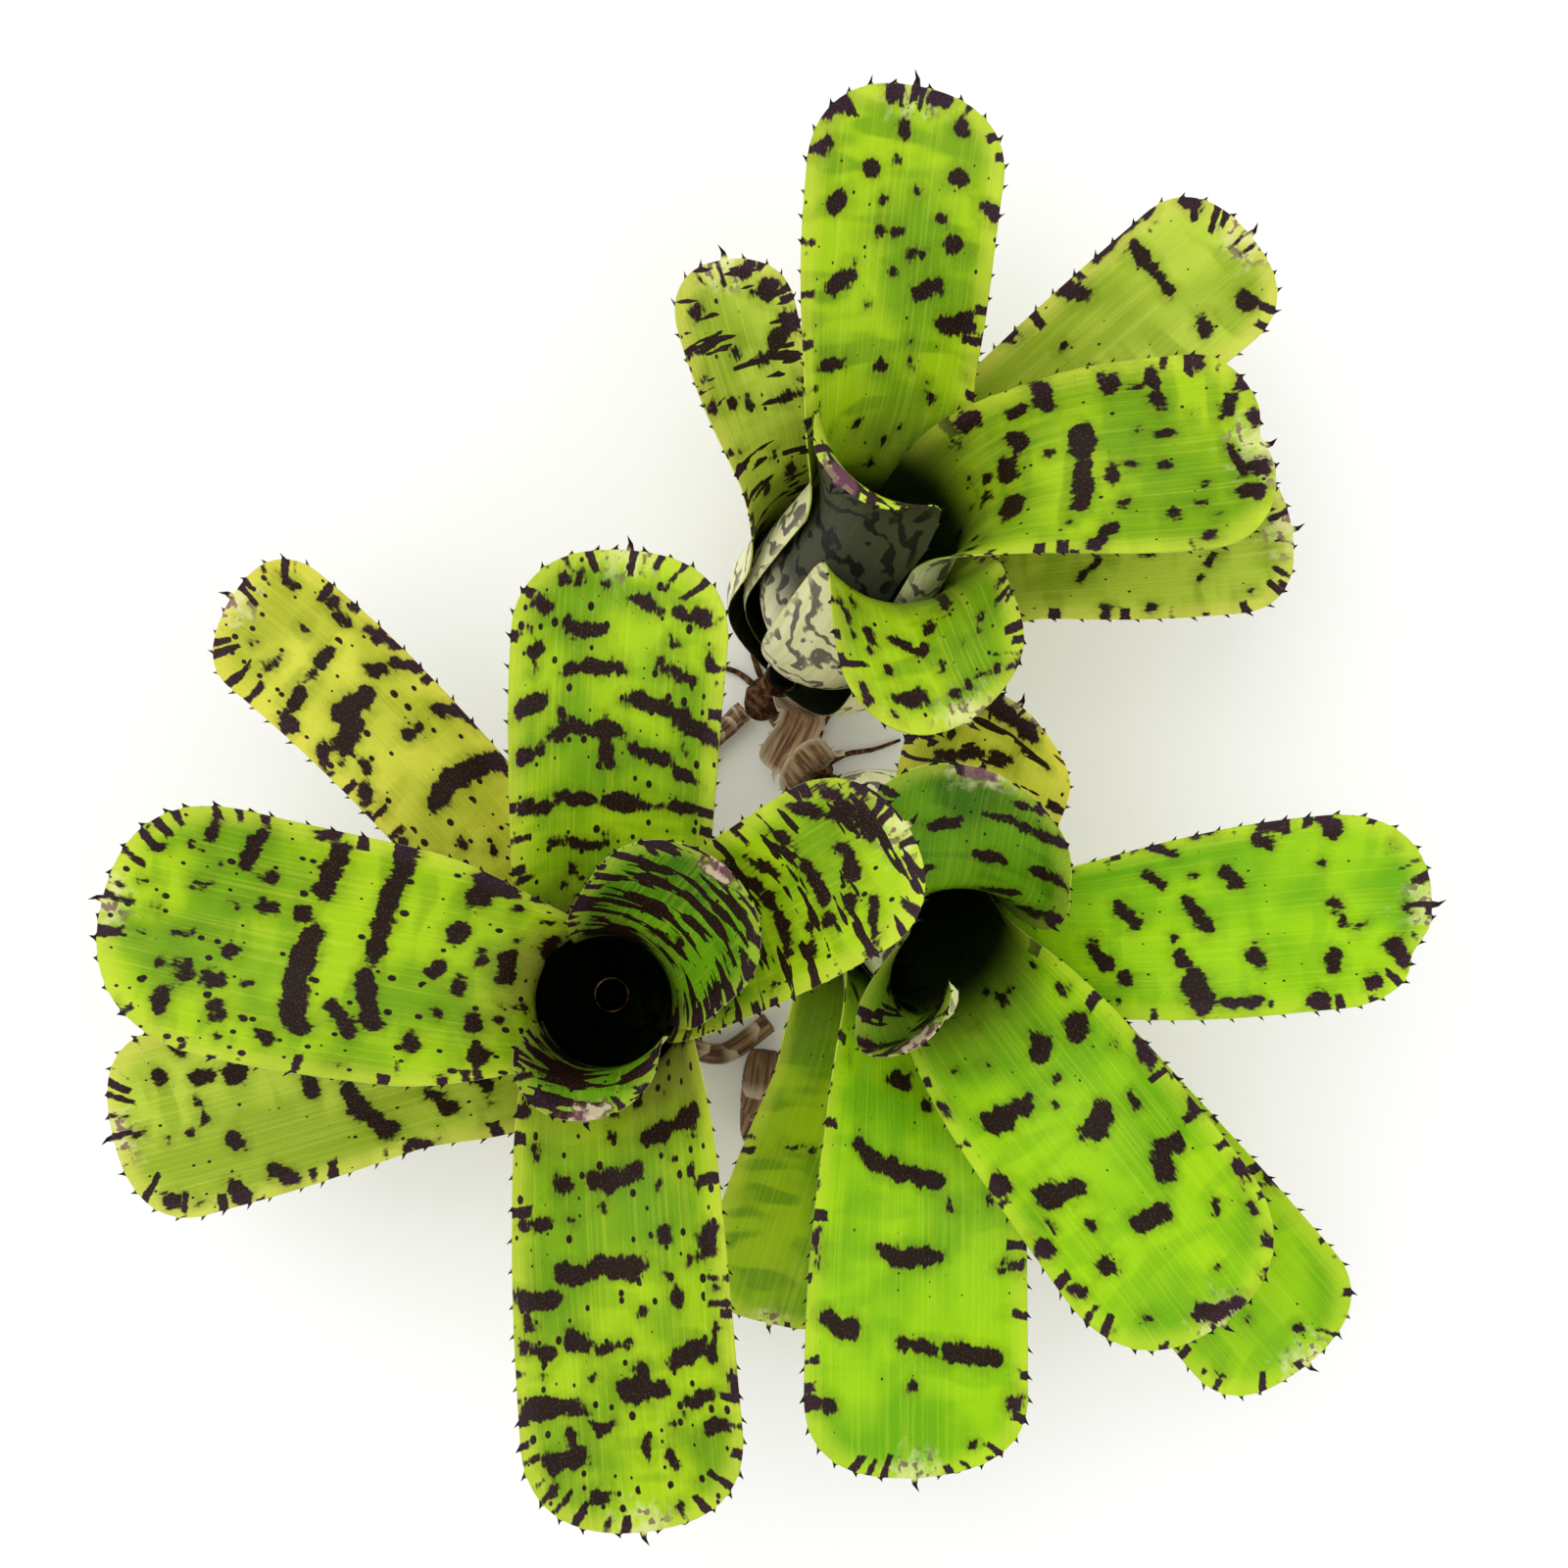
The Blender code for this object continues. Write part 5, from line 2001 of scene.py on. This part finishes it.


# Bold marks of each leaf laid flat. Their ends and widths were picked in the photograph. A scratch
# script turned them to the flat leaf and rounded them to half millimetres and five degrees.
# Each has its distance along the leaf and across it, half length, half width and tilt.
SET_MARKS: dict[str, tuple[Mark, ...]] = {
    "leaf_left_west": (
        (4, -8, 6, 2, -55), (14, -3, 4, 2, -15), (19, 16, 2.5, 2, 25), (19, 9, 2, 2, 5),
        (21, -20, 2, 1.5, 0), (23, 2, 2, 2, -45), (25, -19, 5, 2.5, -5), (26, -8, 2.5, 2.5, 90),
        (28, 0, 2, 2, 90), (31, 15, 2, 2, -10), (39, 11, 2.5, 2.5, 0), (40, 7, 5.5, 2, -10),
        (40, -12, 12.5, 2, 0), (44, 13, 4.5, 1.5, -45), (52, -16, 6.5, 2, 5), (53, 13, 4.5, 2.5, -20),
        (53, 3, 7.5, 2.5, 5), (55, -24, 2.5, 1.5, 80), (55, -6, 2, 2, 90), (58, 19, 2, 1.5, -75),
        (62, -6, 2.5, 1.5, 90), (63, -12, 2, 1.5, 75), (67, -18, 5.5, 1.5, 15), (67, 4, 2, 2, -10),
        (68, 16, 2.5, 2, -35), (69, 10, 2, 2, 90), (75, 10, 2.5, 2, 0), (76, -18, 3.5, 1, 15),
        (79, 16, 3.5, 1.5, 0),
    ),
    "leaf_left_southwest": (
        (16, 10, 3, 1.5, -5), (26, 11, 4.5, 1.5, -20), (34, 19, 3, 1.5, -45), (39, 12, 4.5, 2, -25),
        (42, 6, 5, 2, -10), (50, 0, 3, 1.5, -10), (61, 17, 3.5, 2, -45), (64, -7, 3.5, 2.5, 10),
        (68, 7, 2.5, 1.5, -5), (71, -8, 3, 1.5, 90), (71, 18, 3.5, 2, -25), (73, -1, 3, 1, -10),
        (74, -16, 2.5, 2.5, 30), (80, -10, 2, 1.5, -10), (85, 16, 2, 2, 30),
    ),
    "leaf_left_northwest": (
        (45, -2, 6, 2.5, -10), (45, -10, 4.5, 2.5, 10), (55, -15, 3, 1, 90), (57, 12, 3, 1.5, -50),
        (58, -4, 2.5, 1.5, 10), (58, -13, 3, 1.5, 25), (67, 6, 4.5, 2.5, -10), (69, 13, 2.5, 1.5, -45),
        (70, 1, 5, 2.5, 10), (70, -13, 3.5, 1.5, 40), (72, -8, 2.5, 1.5, 30), (77, -14, 3.5, 1, 75),
        (79, 12, 2.5, 1.5, -55), (80, 10, 5.5, 1.5, -5), (81, -2, 3, 1.5, 0), (81, 3, 3, 1, 10),
        (88, -12, 2, 1.5, 20), (89, 6, 3, 1, 20),
    ),
    "leaf_left_north": (
        (29, 8, 5.5, 1, 15), (38, -2, 4.5, 2, -5), (39, 8, 4.5, 1.5, 10), (39, 16, 4, 1.5, 10),
        (40, -13, 5, 1, -15), (47, -14, 3.5, 1.5, 10), (49, -7, 5, 1.5, 10), (50, 17, 3, 1.5, -10),
        (50, 2, 6, 1.5, 85), (53, 11, 2.5, 1.5, -20), (53, 4, 6, 1.5, 5), (57, -16, 5.5, 2, 15),
        (59, 17, 3.5, 2, -15), (59, -6, 5.5, 1.5, 5), (65, 5, 6.5, 1.5, 0), (66, -11, 4.5, 1.5, 10),
        (69, 17, 2, 1.5, -5), (72, 7, 4, 1.5, 0), (77, 16, 2, 2, 90), (77, -14, 4.5, 1.5, 0),
        (78, -4, 3.5, 1.5, 15),
    ),
    "leaf_left_south": (
        (18, 9, 3.5, 2, -15), (18, 16, 3, 2, 0), (25, 2, 3.5, 2, -25), (26, -3, 3.5, 2, 5),
        (27, -11, 2, 2, 5), (35, -17, 3.5, 1, -15), (41, 18, 3.5, 2, -75), (43, -1, 6.5, 2, 0),
        (44, -10, 3.5, 2, 0), (49, -17, 5, 2, -10), (57, -10, 3, 2, 20), (58, -3, 4, 1, -5),
        (59, -18, 4, 1.5, 15), (60, 18, 4, 1, -70), (61, 12, 4.5, 2, -20), (64, 2, 3, 1.5, -80),
        (67, 6, 2, 1.5, 75), (67, 1, 4, 2.5, -10), (68, 22, 2.5, 1.5, 80), (70, -12, 3.5, 1.5, 10),
        (70, -18, 4, 2.5, -10), (70, 14, 3.5, 1.5, -15), (74, -6, 2.5, 1.5, -10), (76, 17, 3.5, 1.5, -10),
        (80, -14, 5, 2, -10), (88, -8, 2.5, 1.5, 0),
    ),
    "leaf_left_east": (
        (44, 8, 3, 1, -20), (44, -6, 3.5, 1.5, 10), (45, 1, 5, 1.5, 0), (49, 8, 4, 1, -20),
        (50, -9, 3, 1, 5), (56, 0, 5.5, 1.5, 5), (57, 10, 3, 1, -10), (64, 0, 4.5, 1.5, 10),
        (64, -12, 4, 1, 15), (65, 12, 4.5, 1.5, -30), (70, 6, 5, 1.5, 0), (70, 13, 3, 1.5, 5),
        (74, 10, 3, 1, 20),
    ),
    "leaf_right_south": (
        (22, -3, 3, 2, 0), (37, -12, 3.5, 1.5, 30), (40, -6, 5, 2, 15), (42, 2, 4, 2, 15),
        (57, -6, 2.5, 1.5, 20), (58, -22, 4, 1, 85), (58, 0, 5.5, 2, -5), (61, 20, 3, 1, 5),
        (72, -18, 3, 2, 20), (73, -14, 3, 2, 5), (76, 1, 5, 1.5, 10), (78, 12, 7, 2, 10),
        (88, -20, 4, 1.5, 5), (88, 21, 2, 2, 90),
    ),
    "leaf_right_southeast": (
        (22, 4, 3.5, 2.5, -45), (25, 13, 3, 3, -30), (30, -12, 4, 2.5, 5), (30, -6, 3, 2, 10),
        (39, 22, 3, 3, 75), (41, 4, 4.5, 2.5, -20), (42, -20, 3, 2, -40), (48, -13, 3, 3, 15),
        (49, -8, 3, 2, 20), (52, 23, 2, 2, 90), (54, 14, 2, 2, -55), (55, 10, 4, 2, -70),
        (56, -21, 2.5, 2, -70), (62, 1, 4.5, 2, 10), (65, -12, 2.5, 2, 15), (66, -20, 2, 1.5, 25),
        (67, 22, 2.5, 1.5, -65), (84, -1, 3.5, 2, 50), (86, 4, 3, 1.5, 15), (86, 13, 2, 2, -20),
    ),
    "leaf_right_far_southeast": (
        (49, 20, 2, 2, 90), (84, 20, 2, 2, 90),
    ),
    "leaf_right_southwest": (
        (18, 0, 3.5, 1.5, -5), (46, -6, 4, 0.5, -5),
    ),
    "leaf_right_east": (
        (24, -6, 4.5, 1.5, -30), (29, -11, 2, 1.5, -30), (30, 3, 4, 1.5, -25), (37, 11, 3, 1, -35),
        (40, 18, 3.5, 1, -50), (40, -7, 2.5, 1.5, -30), (44, -14, 5, 2.5, -30), (44, 2, 4.5, 1.5, -30),
        (49, 20, 2.5, 1, 90), (52, -17, 5, 1, -85), (52, 9, 3.5, 1.5, -35), (55, -8, 3, 1.5, -30),
        (60, 16, 2.5, 1.5, -30), (63, 20, 3.5, 2, 90), (68, -18, 2.5, 2, -80), (71, -10, 2.5, 2, -10),
        (72, 0, 3, 1, -25), (73, 18, 3, 2, -15), (80, -15, 2, 1.5, 85), (86, -9, 4, 2, -45),
    ),
    "leaf_right_north": (
        (0, -3, 5, 1.5, 0), (10, 10, 2, 1.5, -20), (10, 2, 3.5, 1.5, 0), (15, -9, 5, 1.5, -35),
        (16, -19, 6.5, 1.5, -50), (26, -5, 3.5, 1.5, -15), (30, -18, 6, 1.5, -35), (33, 5, 3.5, 1.5, -10),
        (38, -6, 4, 1, -20), (40, -15, 6.5, 1.5, -25), (45, -11, 4, 1, -35), (48, -14, 2, 2, 15),
    ),
    "leaf_upper_north": (
        (27, 12, 3.5, 1.5, 15), (37, -14, 4.5, 2, -25), (42, -7, 4, 1.5, -35), (43, 11, 4, 2, -35),
        (48, -4, 2.5, 1.5, -20), (52, 2, 2.5, 1, 0), (52, -12, 2.5, 1.5, -25), (58, 13, 2.5, 2, -25),
        (60, -18, 2.5, 1.5, 0), (64, -11, 2.5, 1.5, -15), (68, 18, 2.5, 1.5, -10), (74, -10, 2, 1.5, -20),
        (75, 16, 3, 2, -20), (78, 4, 2, 2, 60), (78, -5, 2.5, 2, -5),
    ),
    "leaf_upper_east": (
        (14, 18, 2.5, 2.5, 35), (16, -5, 3.5, 2.5, -5), (16, 4, 3, 2.5, 5), (20, 9, 2.5, 2, -40),
        (28, 16, 3, 2, 20), (31, -4, 6, 2, 5), (32, 5, 4, 2.5, 15), (36, -16, 4, 1.5, 25),
        (37, -2, 2, 2, 90), (40, 16, 2.5, 1.5, 0), (48, 12, 2.5, 1.5, 10), (48, 16, 2.5, 1.5, -10),
        (49, -11, 2, 1.5, 0), (58, 19, 2, 1.5, -5), (62, -2, 4, 1, -15), (62, 9, 3, 1.5, 35),
        (64, -9, 3, 2, -75), (66, -4, 2, 2, 80), (67, 13, 2, 2, 10), (68, 6, 2, 2, 90),
    ),
    "leaf_upper_northeast": (
        (47, 17, 2, 2, 90), (61, 15, 3.5, 2, 0), (70, 18, 2, 1.5, 90), (74, 5, 4.5, 1, 10),
        (75, 12, 3.5, 1.5, 15), (75, -8, 2.5, 1.5, 5), (76, 18, 4.5, 1, 90), (82, 18, 2, 2, 90),
        (85, -10, 2.5, 2, -20), (90, 13, 2.5, 2, 5),
    ),
    "leaf_upper_west": (
        (36, -6, 3.5, 1, -35), (40, -11, 2.5, 1.5, -25), (48, -7, 4, 1.5, -45), (53, -11, 2.5, 2, -30),
        (59, -8, 4, 1.5, -35), (63, -4, 2.5, 1.5, -45),
    ),
    "leaf_upper_south": (
        (-6, -2, 3, 1, -45), (5, 2, 7, 1, -40), (6, 16, 5.5, 0.5, -40), (6, -6, 6, 1, -40),
        (11, 6, 11.5, 1, -85), (26, -5, 4, 1, 45), (38, -8, 3.5, 2, -10), (41, 10, 5.5, 0.5, 25),
    ),
    "leaf_upper_far_east": (
        (36, -4, 3.5, 1, 45), (60, -6, 3.5, 1, 25),
    ),
}

# Ways of marking that several leaves share.
LEFT_INNER = Marks(Tone.DEEP, pitch=0.0, spots=8, stripes=0.8, dots=0.3, rim=0.5, tip=3.0, scar=4.0, cup_shade=5.0)
LEFT_BANDED = Marks(Tone.LIME, spots=50, dots=0.7, rim=0.8, blush=0.75)
RIGHT_SPARSE = Marks(Tone.BRIGHT, spots=22, dots=0.06, rim=0.45, clouds=0.4)
UPPER_INNER = Marks(Tone.LIME, pitch=0.0, spots=4, stripes=0.7, rim=0.6, dusk=8.0, cup_shade=1.0, shadow=0.93)
UPPER_BANDED = Marks(Tone.LIME, spots=32, dots=0.2, rim=0.6, clouds=0.8)
STRIPED = Marks(Tone.LIME, spots=30, dots=0.3, rim=0.6, clouds=0.7)

# The cups: foot and rim of each axis, number of layers and swell.
TANKS = {
    "left": Tank("left", (-48.0, -53.0), (-42.0, -46.0, 80.0), 6),
    "right": Tank("right", (0.0, 0.0), (34.5, -51.0, 78.0), 8),
    "upper": Tank("upper", (-11.0, 18.0), (26.0, 67.0, 78.0), 7, 5.0),
}

# The leaves of each rosette, in the order in which they are built: name, layer, depart, tip,
# width, pitch and channel, and then what departs from the usual.
LEAVES = {
    "left": (
        Leaf("leaf_left_inner_top", 0, 66.0, (-18.0, -18.0, 104.0), 40.0, 55.0, 22.0, wrap=70.0,
             marks=LEFT_INNER),
        Leaf("leaf_left_inner_bottom", 0, 66.0, (-44.5, -66.7, 92.0), 34.0, 55.0, 18.0, wrap=64.0,
             marks=LEFT_INNER),
        Leaf("leaf_left_west", 1, 61.0, (-140.5, -25.5, 80.0), 50.0, -12.0, 40.0, 24.0, wrap=66.0, blunt=1.2,
             marks=LEFT_BANDED),
        Leaf("leaf_left_east", 1, 58.0, (15.5, -10.5, 104.0), 35.0, 5.0, 34.0, 12.0, wrap=66.0,
             marks=Marks(Tone.LIME, spots=34, stripes=0.45, dots=0.4, rim=0.8)),
        Leaf("leaf_left_north", 2, 52.0, (-37.0, 42.5, 82.0), 43.0, -15.0, 36.0, wrap=74.0,
             marks=LEFT_BANDED),
        Leaf("leaf_left_south", 2, 54.0, (-35.0, -152.0, 74.0), 45.0, -10.0, 40.0, wrap=76.0, blunt=1.0,
             marks=LEFT_BANDED),
        Leaf("leaf_left_northwest", 3, 42.0, (-120.5, 35.5, 62.0), 30.0, -10.0, 30.0, hook=14.0, swing=-8.0,
             marks=Marks(Tone.YELLOW, spots=34, dots=0.7, rim=0.8, blush=0.8)),
        Leaf("leaf_left_southwest", 4, 34.0, (-148.5, -77.7, 52.0), 41.0, -10.0, 38.0, 16.0,
             marks=Marks(Tone.STRAW, spots=20, dots=0.2, rim=0.8, clouds=0.8, blush=0.8)),
        Leaf("dry_leaf_left", 5, 20.0, (-22.0, -16.0, 14.0), 14.0, -15.0, 12.0, 8.0, wrap=52.0),
    ),
    "right": (
        Leaf("leaf_right_inner", 0, 76.0, (20.0, -53.0, 85.0), 24.0, 75.0, 16.0, swing=28.0, wrap=72.0,
             marks=Marks(Tone.DEEP, pitch=9.0, spots=6, stripes=0.4, scar=5.0, cup_shade=4.0)),
        Leaf("leaf_right_north", 2, 68.0, (29.5, -0.3, 102.0), 47.0, 60.0, 26.0, wrap=72.0,
             marks=Marks(Tone.DEEP, spots=12, dots=0.15, rim=0.6, dusk=7.0, cup_shade=9.0)),
        Leaf("leaf_right_southeast", 1, 72.0, (81.0, -111.0, 72.0), 46.0, -8.0, 40.0, blunt=1.1,
             marks=Marks(Tone.BRIGHT, spots=28, dots=0.06, rim=0.45, clouds=0.4, cup_shade=7.0)),
        Leaf("leaf_right_east", 3, 66.0, (124.8, -27.5, 66.0), 40.0, -5.0, 40.0, wrap=66.0, blunt=1.1,
             marks=RIGHT_SPARSE, notches=((-0.5, 2.5, 4.0),)),
        Leaf("leaf_right_south", 4, 62.0, (20.0, -146.5, 60.0), 47.0, -8.0, 40.0,
             marks=RIGHT_SPARSE),
        Leaf("leaf_right_far_north", 4, 50.0, (40.0, 12.7, 73.0), 37.0, 40.0, 28.0, 22.0, wrap=40.0,
             marks=Marks(Tone.YELLOW, pitch=10.0, spots=8, stripes=0.4, dots=0.4)),
        Leaf("leaf_right_far_southeast", 5, 54.0, (104.0, -126.0, 50.0), 40.0, -8.0, 36.0,
             marks=RIGHT_SPARSE),
        Leaf("leaf_right_southwest", 6, 46.0, (-10.3, -125.4, 22.0), 38.0, -25.0, 34.0,
             marks=Marks(Tone.LIME, spots=2, dots=0.05, rim=0.05, clouds=0.9, tip=4.0)),
        Leaf("dry_leaf_right", 7, 16.0, (-5.3, 3.5, 37.6), 15.0, 75.0, 16.0, 6.0, wrap=38.0),
    ),
    "upper": (
        Leaf("leaf_upper_inner", 0, 67.0, (3.0, 54.8, 88.0), 39.0, 25.0, 19.0, 6.0, 0.35, hook=140.0,
             wrap=64.0, marks=UPPER_INNER),
        Leaf("leaf_upper_east", 1, 73.0, (90.5, 65.0, 73.0), 40.0, -5.0, 36.0, 26.0,
             marks=Marks(Tone.LIME, spots=30, dots=0.2, rim=0.6, clouds=0.6, tip=8.0, cup_shade=4.0),
             notches=((0.1, 2.0, 4.0),)),
        Leaf("leaf_upper_north", 2, 66.0, (19.0, 133.8, 80.0), 40.0, 5.0, 34.0,
             marks=UPPER_BANDED),
        Leaf("leaf_upper_south", 2, 60.0, (28.5, 9.2, 87.0), 40.0, 20.0, 24.0, 17.0, wrap=62.0,
             marks=STRIPED),
        Leaf("leaf_upper_northeast", 3, 56.0, (88.8, 109.9, 62.0), 35.0, -5.0, 32.0, wrap=70.0,
             marks=Marks(Tone.STRAW, spots=18, dots=0.15, rim=0.6, clouds=0.8)),
        Leaf("leaf_upper_west", 4, 43.0, (-19.0, 102.6, 70.0), 26.0, 12.0, 16.0, 24.0, wrap=44.0,
             marks=Marks(Tone.STRAW, spots=20, stripes=0.3, dots=0.3, rim=0.6)),
        Leaf("leaf_upper_far_east", 5, 50.0, (100.7, 51.0, 50.0), 34.0, -8.0, 30.0,
             marks=Marks(Tone.STRAW, spots=14, dots=0.15, rim=0.6, clouds=0.9)),
        Leaf("dry_leaf_upper", 6, 15.0, (-9.0, 0.0, 7.0), 11.0, -35.0, 14.0, 6.0, wrap=22.0),
    ),
}

# The young shoot: its least radius, what its swelling adds, and the part of a half wave that it follows.
BUD_LEAST = 0.9
BUD_SWELL = 4.0
BUD_BEGINS = 0.18
BUD_SPAN = 0.80
BUD_FULLNESS = 0.8

# Heading and length of each root.
ROOTS = {
    "left": ((-150.0, 24.0), (-95.0, 20.0), (150.0, 22.0), (-60.0, 18.0)),
    "right": ((-20.0, 30.0), (-62.0, 34.0), (25.0, 20.0), (-100.0, 24.0), (75.0, 16.0)),
    "upper": ((60.0, 22.0), (105.0, 24.0), (145.0, 20.0), (20.0, 18.0)),
}


def bud_radius(share: float) -> float:
    """Radius of the young shoot, which swells and then closes to a point.

    Args:
        share: how far along the shoot, from nought to one.

    Returns:
        The radius in millimetres.
    """
    swelling = math.sin(math.pi * (BUD_BEGINS + BUD_SPAN * clamp(share)))
    return BUD_LEAST + BUD_SWELL * swelling ** BUD_FULLNESS


STOLONS = (
    Stolon("stolon_main", ((-44.2, -48.6), (-42.0, -29.0), (-29.0, 1.0), (-19.6, 11.5), (-16.3, 14.6))),
    Stolon("stolon_link", ((-3.3, 5.0), (-6.0, 9.4), (-8.6, 13.4))),
    Stolon("stolon_young", ((-43.7, -55.7), (-34.0, -63.0), (-22.0, -67.0), (-10.5, -59.5))),
    Stolon("stolon_bud", ((-11.7, -66.0), (-12.6, -76.5), (-15.4, -87.5)), height=5.0,
           core=lambda share: bud_radius(share) * 0.72, coat=lambda share: bud_radius(share) - 0.1),
)


def main() -> None:
    """Builds the clump and its studio, and reports each piece."""
    logging.basicConfig(level=logging.INFO, format="%(message)s")
    wood = WoodSkin("bark_finish").material()
    paper = PaperSkin("dry_sheath_finish").material()
    husk = PaperSkin("husk_finish", paint(150, 116, 84), paint(78, 54, 38)).material()
    for name, tank in TANKS.items():
        pieces = Rosette(tank, LEAVES[name], ROOTS[name]).dress(wood, paper)
        LOG.info("dressed the %s rosette: %d pieces", name, len(pieces))
    for stolon in STOLONS:
        stolon.build(husk)
    Studio().build()


if __name__ == "__main__":
    main()
